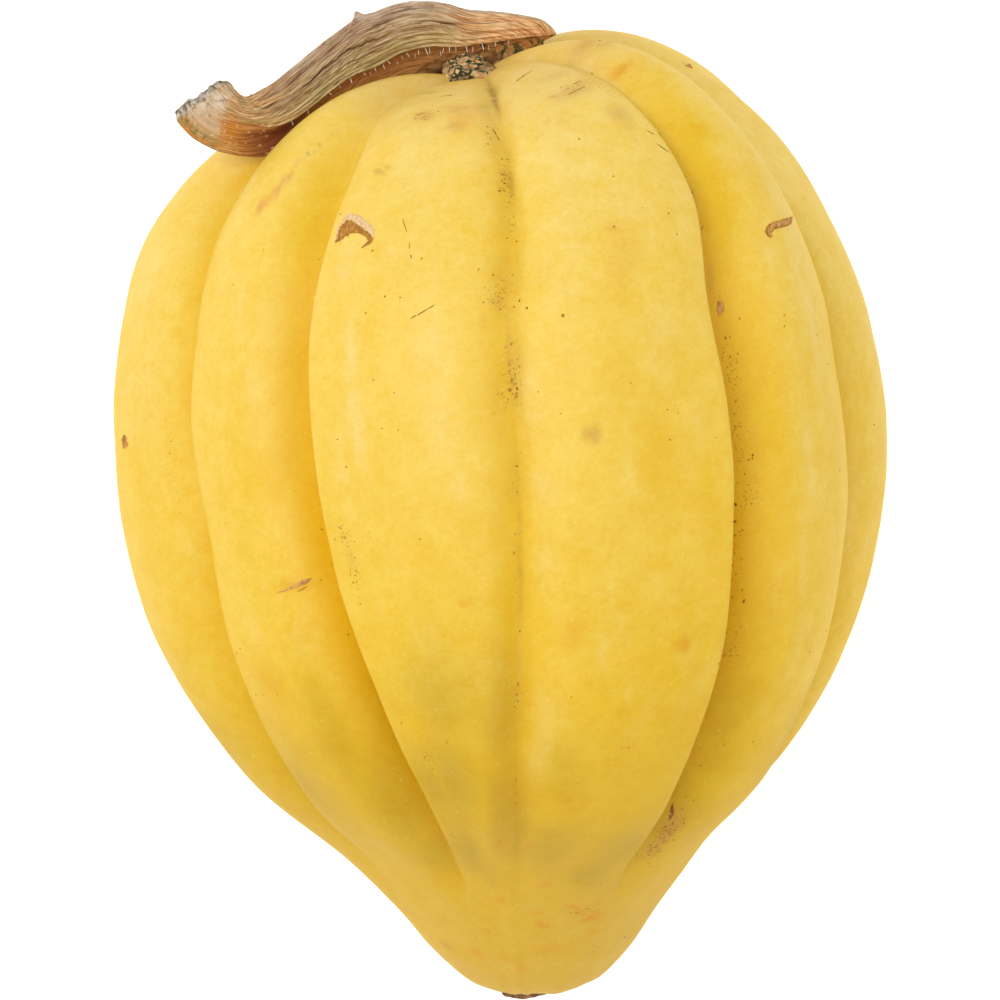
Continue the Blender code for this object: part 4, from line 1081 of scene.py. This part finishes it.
def stem_values(name, grid, end_value, pole_values=None):
    """A vertex value on the limb, then one value for the cut face."""
    tail = np.full((len(end_rings), SIDES), float(end_value))
    poles_v = pole_values or (float(grid[0].mean()), float(end_value))
    add_attribute(stem, name, np.concatenate([grid.ravel(), tail.ravel(), poles_v]))


wob = 0.5 * limb_noise(30, 18, 41) + 0.3 * limb_noise(70, 40, 42)
stem_values("t_mm", np.broadcast_to(t_mm[:, None], h.shape), t_mm[-1])
stem_values("v_mm", v_mm, 0.0)
stem_values("under", under * (1 - step_up(TT, 19.6, 21.4)), 0)
stem_values("knee", (1 - step_up(TT + 1.6 * wob, 5.2, 8.4)) * (1 - step_up(VV, 0.97, 1.02)) * step_up(VV + 0.16 * wob, 0.10, 0.42), 0)
# painted shade: dark colour in the small cracks, the slot under the split sheet and the line just under the keel
stem_values("crease", np.clip(crack_on * (1.0 * slot) + 0.75 * cracks + 0.9 * bell(VV, 1.03, 0.02) * step_up(TT, 2, 5) * (1 - step_up(TT, 19, 21)), 0, 1), 0)
stem_values("keel", sum(bell(VV, a, 0.02) for a in (0.985, 0.91, 0.845)) * step_up(TT, 4, 6) * (1 - step_up(TT, 18, 22)), 0)
boot = step_up(TT, 18.5, 20.5)
stem_values("amber", boot * step_up(VV + 0.25 * wob, 0.70, 1.15) * (1 - step_up(VV, 2.2, 2.6)), 0)
stem_values("cream", step_up(TT + 0.7 * wob, 22.0, 23.3) * (1 - step_up(VV + 0.3 * wob, 1.35, 1.72)), 0)
stem_values("moss", step_up(TT + 0.4 * wob, 22.2, 23.0) * bell(VV + 0.12 * wob, 1.70, 0.15), 0)
stem_values("edge", step_up(TT, 21.4, 22.6) * bell(VV, 1.97, 0.05), 0)
stem_values("heel", (1 - step_up(TT, 5.2, 7.0)) * step_up(VV, 1.02, 1.06) * (1 - step_up(VV, 2.3, 2.5)), 0)
stem_values("rusty", bell(VV + 0.10 * wob, 0.36, 0.20) * step_up(TT + wob, 8.5, 10.5) * (1 - step_up(TT + wob, 16.5, 19)), 0)
stem_values("cut", step_up(TT + 0.18 * wob, 24.55, 24.85), 1)
# painted shade: red-brown deepening on the boot's under side where it turns into shadow
stem_values("dark", step_up(VV + 0.2 * wob, 1.05, 1.45) * (1 - step_up(VV, 2.3, 2.6)) * bell(TT, 18.9, 1.9), 0)
stem_values("dots", dots, 0)
stem_values("crest", bell(TT, 10.0, 5.2) * (1 - step_up(VV + 0.22 * wob, 0.16, 0.50)) * (1 - step_up(VV, 1.6, 2.2)), 0)
stem_values("strip", step_up(VV + 0.05 * wob, 0.66, 0.80) * (1 - step_up(VV, 0.99, 1.02)) * step_up(TT, 4, 7) * (1 - step_up(TT, 18, 21)), 0)
stem_values("tail", step_up(TT + 1.0 * wob, 15.5, 19.0) * (1 - step_up(TT, 22, 24)), 0)
stem_values("height", np.clip(h / 0.9, -1, 1), 0)
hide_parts("stem")
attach(stem, "root")

# -------------------------------------------------------------------------- limb material
n = Nodes("dry_stem")


def along_limb(per_t, per_v, dx=0.0, dy=0.0):
    """Coordinates that follow the limb, stretched along it."""
    comb = n.tree.nodes.new("ShaderNodeCombineXYZ")
    n._set(comb.inputs[0], n.math('ADD', n.math('MULTIPLY', n.attr("t_mm"), per_t), dx))
    n._set(comb.inputs[1], n.math('ADD', n.math('MULTIPLY', n.attr("v_mm"), per_v), dy))
    return comb.outputs[0]


strands = n.noise(2.2, 3, 0.65, vector=along_limb(0.075, 1.5))
threads = n.noise(2.2, 3, 0.70, 0.1, vector=along_limb(0.11, 3.4, 3.1, 8.2))
bands = n.noise(1.6, 3, 0.6, 0.4, vector=along_limb(0.10, 0.75))
olive = n.noise(1.5, 3, 0.55, 0.6, vector=along_limb(0.16, 0.9, 7.3, 2.1))
rust = n.noise(1.5, 3, 0.6, 0.5, vector=along_limb(0.20, 0.8, 1.3, 5.7))
blotch = n.noise(190, 4, 0.6)
speck = n.noise(1100, 3, 0.6)
grainy = n.noise(2600, 2, 0.6)
under_a = n.attr("under")
# body: tan, paler and pinker on the crest, olive and rusty streaks, golden strip by the keel
col = n.mix(n.ramp(bands, 0.34, 0.66), srgb(186, 150, 104), srgb(216, 188, 146))
crest = n.mix(n.ramp(bands, 0.36, 0.64), srgb(218, 190, 164), srgb(244, 220, 200))
col = n.mix(n.math('MULTIPLY', n.attr("crest"), 0.9), col, crest)
strip = n.mix(n.ramp(strands, 0.38, 0.62), srgb(214, 192, 124), srgb(176, 150, 82))
col = n.mix(n.math('MULTIPLY', n.attr("strip"), 0.75), col, strip)
tail = n.mix(n.ramp(strands, 0.36, 0.64), srgb(238, 192, 128), srgb(206, 140, 72))
col = n.mix(n.math('MULTIPLY', n.attr("tail"), 0.70), col, tail)
calm = n.math('SUBTRACT', 1.0, n.math('MULTIPLY', n.attr("crest"), 0.55))
col = n.mix(n.math('MULTIPLY', n.math('MULTIPLY', n.ramp(olive, 0.52, 0.64), 0.50), calm), col, srgb(156, 144, 72))
col = n.mix(n.math('MULTIPLY', n.math('MULTIPLY', n.ramp(rust, 0.53, 0.66), 0.55), calm), col, srgb(150, 96, 52))
col = n.mix(n.math('MULTIPLY', n.math('MULTIPLY', n.attr("rusty"), n.ramp(bands, 0.40, 0.56)), 0.60), col, srgb(158, 96, 60))
knee_col = n.mix(n.ramp(strands, 0.42, 0.62), srgb(250, 204, 146), srgb(208, 132, 68))
knee_col = n.mix(n.math('MULTIPLY', n.ramp(threads, 0.54, 0.66), 0.45), knee_col, srgb(160, 82, 34))
col = n.mix(n.attr("knee"), col, knee_col)
amber = n.mix(n.ramp(strands, 0.36, 0.66), srgb(226, 156, 66), srgb(190, 114, 40))
amber = n.mix(n.math('MULTIPLY', n.ramp(blotch, 0.50, 0.66), 0.5), amber, srgb(228, 176, 96))
col = n.mix(n.attr("amber"), col, amber)
# fibres
quiet = n.math('SUBTRACT', 1.0, n.math('MULTIPLY', n.math('ADD', n.attr("amber"), n.attr("knee"), clamp=True), 0.6))
col = n.mix(n.math('MULTIPLY', n.math('MULTIPLY', n.ramp(strands, 0.50, 0.60), 0.52), quiet), col, srgb(138, 98, 58))
col = n.mix(n.math('MULTIPLY', n.ramp(strands, 0.46, 0.36), 0.50), col, srgb(240, 220, 184))
col = n.mix(n.math('MULTIPLY', n.math('MULTIPLY', n.ramp(threads, 0.53, 0.61), 0.66), quiet), col, srgb(112, 76, 42))
col = n.mix(n.math('MULTIPLY', n.math('MULTIPLY', n.ramp(threads, 0.46, 0.34), 0.50), quiet), col, srgb(238, 220, 188))
col = n.mix(n.math('MULTIPLY', n.ramp(speck, 0.60, 0.70), 0.35), col, srgb(104, 74, 40))
# the boot's end
cream = n.mix(n.ramp(blotch, 0.42, 0.60), srgb(240, 222, 194), srgb(214, 184, 146))
cream = n.mix(n.math('MULTIPLY', n.ramp(speck, 0.56, 0.64), 0.7), cream, srgb(176, 132, 96))
cream = n.mix(n.math('MULTIPLY', n.ramp(threads, 0.54, 0.62), 0.45), cream, srgb(150, 104, 66))
col = n.mix(n.math('MULTIPLY', n.attr("cream"), 0.9), col, cream)
mossy = n.math('MULTIPLY', n.attr("moss"), n.ramp(n.math('ADD', speck, n.math('MULTIPLY', blotch, 0.5)), 0.70, 0.80))
col = n.mix(n.math('MULTIPLY', mossy, 0.90), col, srgb(116, 128, 44))
col = n.mix(n.math('MULTIPLY', n.attr("keel"), 0.62), col, srgb(218, 194, 136))
under_col = n.mix(n.ramp(strands, 0.35, 0.65), srgb(216, 154, 86), srgb(174, 112, 54))
under_col = n.mix(n.math('MULTIPLY', n.ramp(speck, 0.52, 0.64), 0.4), under_col, srgb(210, 160, 96))
col = n.mix(under_a, col, under_col)
heel_ridge = n.noise(620, 2, 0.5, 0.3, vector=n.vmath('MULTIPLY', n.coord, (1.0, 0.30, 1.0)))
col = n.mix(n.math('MULTIPLY', n.math('MULTIPLY', n.attr("heel"), n.ramp(heel_ridge, 0.50, 0.58)), 0.85), col, srgb(74, 82, 44))
# painted shade on the boot's under side
col = n.mix(n.math('MULTIPLY', n.attr("dark"), 0.85), col, srgb(120, 46, 18))
cut = n.mix(n.ramp(speck, 0.42, 0.62), srgb(212, 200, 178), srgb(132, 116, 94))
col = n.mix(n.attr("cut"), col, cut)
col = n.mix(n.math('MULTIPLY', n.attr("edge"), 0.75), col, srgb(84, 66, 40))
# painted shade in the cracks, the slot and under the keel
col = n.mix(n.math('MULTIPLY', n.attr("crease"), 0.80), col, srgb(66, 42, 22))
col = n.mix(n.math('MULTIPLY', n.attr("dots"), 0.9), col, srgb(244, 214, 160))
# painted shade: darker where the relief dips into hollows
hollow = n.ramp(n.attr("height"), 0.0, -0.42)
col = n.mix(n.math('MULTIPLY', hollow, 0.40), col, srgb(100, 66, 36))
n._set(n.shader.inputs["Base Color"], col)
n._set(n.shader.inputs["Roughness"], n.math('ADD', 0.66, n.math('MULTIPLY', n.math('SUBTRACT', strands, 0.5), 0.3)))
n.shader.inputs["Specular IOR Level"].default_value = 0.25
fine_bump = n.bump(strands, 0.00030, 0.7, n.bump(threads, 0.00022, 0.7))
n._set(n.shader.inputs["Normal"], n.bump(speck, 0.00010, 0.5, fine_bump))
stem.data.materials.append(n.mat)

# -------------------------------------------------------------------------- corky foot
# (x, z) middle and half widths of the foot at each height y above the crown pit
FOOT = [(45.5, -3.6, 7.0, 9.6, 7.0), (48.0, -3.6, 7.0, 9.8, 7.0), (50.2, -3.3, 7.2, 10.2, 6.4),
        (52.0, -2.4, 6.8, 10.2, 5.4), (53.6, -1.0, 6.0, 9.4, 4.6), (55.2, 0.4, 5.6, 8.0, 3.8),
        (56.6, 1.6, 5.6, 6.4, 2.8)]
foot_rows, foot_cols = ((96, 300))
ft = np.array(FOOT, float)
fy = np.linspace(0, 1, foot_rows)
fr = smooth(fy, np.linspace(0, 1, len(ft)), ft)
ang = tau * np.arange(foot_cols) / foot_cols
lobes = 1 + 0.05 * np.cos(5 * ang + 0.6) + 0.025 * np.cos(13 * ang + 1.0)
fx = fr[:, 1:2] + fr[:, 3:4] * np.sin(ang)[None] * lobes
fz = fr[:, 2:3] + fr[:, 4:5] * np.cos(ang)[None] * lobes
fyy = np.broadcast_to(fr[:, 0:1], fx.shape)
cork = (0.42 * lattice_noise((foot_rows, foot_cols), (9, 30), 51, True)
        + 0.30 * lattice_noise((foot_rows, foot_cols), (22, 70), 52, True)
        + 0.14 * lattice_noise((foot_rows, foot_cols), (50, 150), 53, True))
topside = step_up(fz, 8.0, 10.0)
# a hollow between the left lip and the knob: a dent, with painted shade in it
hollow_at = bell(fx, -8.6, 1.5) * bell(fyy, 51.8, 1.3) * topside
bulge = (((fx + 3.3) / 4.3)**2 + ((fyy - 51.6) / 2.7)**2)
dome = np.sqrt(np.clip(1 - bulge, 0, 1)) * topside
ribbed = 0.30 * np.sin(fx * 3.2 + 0.5 * np.sin(fyy * 2)) * step_up(fx, 0.6, 1.8) * topside
push = (0.9 * cork + ribbed + 2.0 * dome - 1.8 * hollow_at) * step_up(fyy, 46, 48) * (1 - 0.6 * step_up(fyy, 55.2, 56.6))
foot_p = np.stack([fx + push * np.sin(ang)[None], fyy + 0.2 * cork, fz + push * np.cos(ang)[None]], -1)
poles = np.array([[ft[0, 1], ft[0, 0], ft[0, 2]], [ft[-1, 1], ft[-1, 0] + 0.1, ft[-1, 2]]])
verts = np.vstack([foot_p.reshape(-1, 3), poles])
faces = [tuple(f) for f in grid_faces(foot_rows, foot_cols)]
b0, b1 = foot_rows * foot_cols, foot_rows * foot_cols + 1
faces += [(b0, (i + 1) % foot_cols, i) for i in range(foot_cols)]
faces += [(b1, (foot_rows - 1) * foot_cols + i, (foot_rows - 1) * foot_cols + (i + 1) % foot_cols) for i in range(foot_cols)]
foot = make_mesh("stem_foot", world(verts), faces)
add_attribute(foot, "hollow", np.concatenate([np.clip(hollow_at, 0, 1).ravel(), [0, 0]]))
add_attribute(foot, "cork", np.concatenate([cork.ravel(), [0, 0]]))
right_side = step_up(fx, 0.6, 1.6)
add_attribute(foot, "knob", np.concatenate([(step_up(1.25 - bulge + 0.35 * cork, 0.0, 0.35) * topside).ravel(), [0, 0]]))
add_attribute(foot, "right", np.concatenate([right_side.ravel(), [0, 0]]))
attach(foot, "root")
n = Nodes("corky_foot")
patch2 = n.noise(900, 2, 0.5, 0.5)
cells = n.voronoi(1050, feature='DISTANCE_TO_EDGE')
cell_line = n.ramp(n.math('ADD', cells, n.math('MULTIPLY', n.math('SUBTRACT', patch2, 0.5), 0.5)), 0.17, 0.09)
pale_line = n.ramp(n.math('ADD', cells, n.math('MULTIPLY', n.math('SUBTRACT', patch2, 0.5), 0.5)), 0.26, 0.17)
brown = n.mix(n.ramp(patch2, 0.38, 0.60), srgb(176, 128, 74), srgb(132, 86, 42))
warm = n.mix(n.ramp(patch2, 0.40, 0.60), srgb(234, 194, 138), srgb(204, 152, 92))
warm = n.mix(n.math('MULTIPLY', pale_line, 0.28), warm, srgb(216, 206, 162))
warm = n.mix(n.math('MULTIPLY', cell_line, n.ramp(n.noise(420, 2), 0.40, 0.52)), warm, srgb(44, 66, 40))
col = n.mix(n.attr("knob"), brown, warm)
streak = n.mix(n.ramp(n.noise(760, 2, 0.5, vector=n.vmath('MULTIPLY', n.coord, (1.0, 0.30, 1.0))), 0.48, 0.58), srgb(186, 138, 84), srgb(60, 72, 40))
col = n.mix(n.attr("right"), col, streak)
col = n.mix(n.math('MULTIPLY', n.ramp(n.attr("cork"), -0.1, -0.5), 0.6), col, srgb(72, 50, 26))
# painted shade in the hollow
col = n.mix(n.math('MULTIPLY', n.attr("hollow"), 0.95), col, srgb(64, 34, 12))
n._set(n.shader.inputs["Base Color"], col)
n.shader.inputs["Roughness"].default_value = 0.85
n.shader.inputs["Specular IOR Level"].default_value = 0.2
n._set(n.shader.inputs["Normal"], n.bump(patch2, 0.0003, 0.6))
foot.data.materials.append(n.mat)

# -------------------------------------------------------------------------- bristles
# stiff pale hairs under the keel: station, which share of the under face, length
BRISTLES = [(13.4, 0.10, 1.1), (12.5, 0.10, 0.9), (11.6, 0.12, 1.0), (11.0, 0.16, 1.2), (10.7, 0.10, 1.0),
            (9.6, 0.14, 1.1), (8.5, 0.08, 1.4), (8.3, 0.16, 1.3), (7.0, 0.12, 1.1), (6.0, 0.10, 1.3),
            (5.9, 0.45, 0.7), (5.2, 0.10, 1.3), (4.3, 0.12, 1.1), (15.0, 0.12, 0.8), (16.4, 0.12, 0.8),
            (17.6, 0.14, 0.9), (9.1, 0.30, 0.8), (10.2, 0.36, 0.7), (7.6, 0.40, 0.8), (6.6, 0.50, 0.6),
            (14.2, 0.20, 0.7), (4.8, 0.35, 0.8), (3.6, 0.2, 0.8), (12.0, 0.30, 0.7), (7.4, 0.22, 1.2), (8.9, 0.12, 1.0), (9.9, 0.22, 0.9), (6.6, 0.14, 1.1), (5.6, 0.22, 0.9)]
rng = np.random.default_rng(61)
bv, bf = [], []
for t_at, share, length_mm in BRISTLES:
    i = int(round(t_at / (len(st) - 1) * (stem_rings - 1)))
    j = UPPER + int(share * UNDER)
    root = limb[i, j] - 0.08 * nrm[i, j]
    aim = nrm[i, j] * 0.5 + (B[i] - R[i]).tolist()[0] * np.array([0.12, 0, 0]) + np.array([0.0, -0.75, 0.30])
    aim = aim + rng.uniform(-0.34, 0.34, 3)
    aim /= np.linalg.norm(aim)
    side = np.cross(aim, (0.3, 0.2, 1.0))
    side /= np.linalg.norm(side)
    other = np.cross(aim, side)
    bow = rng.uniform(-0.12, 0.12, 2)
    base = len(bv)
    for k in range(6):
        f_ = k / 6
        c_ = root + aim * length_mm * f_ + (side * bow[0] + other * bow[1]) * f_ * f_
        w_ = 0.095 * (1 - 0.70 * f_)
        for m_ in range(6):
            a_ = tau * m_ / 6
            bv.append(c_ + w_ * (cos(a_) * side + sin(a_) * other))
    bv.append(root + aim * length_mm + side * bow[0] + other * bow[1])
    for k in range(5):
        for m_ in range(6):
            a_, b_ = base + k * 6 + m_, base + k * 6 + (m_ + 1) % 6
            bf.append((a_, b_, b_ + 6, a_ + 6))
    end = base + 36
    for m_ in range(6):
        bf.append((base + 30 + m_, base + 30 + (m_ + 1) % 6, end))
    bf.append(tuple(base + m_ for m_ in range(5, -1, -1)))
bristles = make_mesh("stem_bristles", world(np.array(bv)), bf)
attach(bristles, "root")
n = Nodes("bristle")
col = n.mix(n.ramp(n.noise(900, 2), 0.4, 0.6), srgb(255, 250, 238), srgb(236, 224, 200))
n._set(n.shader.inputs["Base Color"], col)
n.shader.inputs["Roughness"].default_value = 0.45
n._set(n.shader.inputs["Normal"], n.bump(n.noise(2500, 2), 0.00003, 0.3))
bristles.data.materials.append(n.mat)

# -------------------------------------------------------------------------- blossom scar
scar_rows, scar_cols = 26, 120
sa = tau * np.arange(scar_cols) / scar_cols
ss = np.linspace(0.02, 1, scar_rows)
sn = lattice_noise((scar_rows, scar_cols), (8, 30), 71, True)
outline = 4.10 * (1 + 0.05 * np.cos(5 * sa + 0.4) + 0.04 * np.cos(3 * sa) + 0.03 * np.cos(11 * sa))
rad = ss[:, None] * outline[None] * (1 - 0.05 * step_up(ss, 0.92, 1.0))[:, None]
deep = MERIDIAN[-1][1] - 1.30 + 0.50 * ss[:, None]**2 + 1.4 * step_up(ss, 0.84, 1.02)[:, None] + 0.12 * sn
SCAR_SIDE = -1.9           # mm off the axis
scar_p = lay_down(np.stack([rad * np.sin(sa) + SCAR_SIDE, deep, rad * np.cos(sa)], -1))
back = lay_down(np.array([[SCAR_SIDE, MERIDIAN[-1][1] + 0.4, 0.0]]))
front = lay_down(np.array([[SCAR_SIDE, MERIDIAN[-1][1] - 1.30, 0.0]]))
verts = np.vstack([scar_p.reshape(-1, 3), front, back])
faces = [tuple(f) for f in grid_faces(scar_rows, scar_cols)]
c0, c1 = scar_rows * scar_cols, scar_rows * scar_cols + 1
faces += [(c0, (i + 1) % scar_cols, i) for i in range(scar_cols)]
faces += [(c1, (scar_rows - 1) * scar_cols + i, (scar_rows - 1) * scar_cols + (i + 1) % scar_cols) for i in range(scar_cols)]
scar = make_mesh("flower_scar", world(verts), faces)
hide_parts("blossom_scar")
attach(scar, "root")
n = Nodes("dry_scar")
col = n.mix(n.ramp(n.noise(700, 3, 0.6), 0.38, 0.62), srgb(158, 112, 66), srgb(104, 64, 34))
n._set(n.shader.inputs["Base Color"], col)
n.shader.inputs["Roughness"].default_value = 0.85
n._set(n.shader.inputs["Normal"], n.bump(n.noise(1500, 3), 0.0002, 0.7))
scar.data.materials.append(n.mat)

# =====================================================================================
# Floor, light, camera
# =====================================================================================
bpy.ops.mesh.primitive_plane_add(size=4.0, location=(0, 0, 0))
floor = bpy.context.object
floor.name = "floor"
fn = Nodes("floor")
fn.shader.inputs["Base Color"].default_value = (0.80, 0.80, 0.80, 1)
fn.shader.inputs["Emission Color"].default_value = (1, 1, 1, 1)
fn.shader.inputs["Emission Strength"].default_value = 0.60
fn.shader.inputs["Roughness"].default_value = 0.9
floor.data.materials.append(fn.mat)

bpy.context.scene.view_settings.view_transform = 'Standard'
bpy.context.scene.view_settings.look = 'None'
world_data = bpy.data.worlds.new("studio")
bpy.context.scene.world = world_data
world_data.use_nodes = True
world_data.node_tree.nodes["Background"].inputs[0].default_value = (1, 1, 1, 1)
world_data.node_tree.nodes["Background"].inputs[1].default_value = 0.58


def softbox(name, direction, distance, size, power, target=(0, 0, 0.055)):
    light = bpy.data.lights.new(name, 'AREA')
    light.shape = 'RECTANGLE'
    light.size, light.size_y = size
    light.energy = power
    obj = bpy.data.objects.new(name, light)
    d = Vector(direction).normalized()
    obj.location = Vector(target) + d * distance
    obj.rotation_euler = d.to_track_quat('Z', 'Y').to_euler()
    bpy.context.scene.collection.objects.link(obj)
    return obj


softbox("key", (-0.36, 0.12, 0.93), 1.1, (0.8, 0.8), 6.1)
softbox("fill", (0.6, -0.2, 0.7), 1.4, (0.9, 0.9), 2.0)

CAM = dict(cx=-1.8, cy=-13.0, above=750.0, f=4900.0, roll=-2.95)
cam_data = bpy.data.cameras.new("camera")
cam = bpy.data.objects.new("camera", cam_data)
bpy.context.scene.collection.objects.link(cam)
cam.location = world([CAM["cx"], CAM["cy"], CAM["above"]])
cam.rotation_euler = (0, 0, radians(CAM["roll"]))
cam_data.sensor_width = 36.0
cam_data.lens = CAM["f"] / 1000 * 36.0
cam_data.clip_start = 0.05
bpy.context.scene.camera = cam
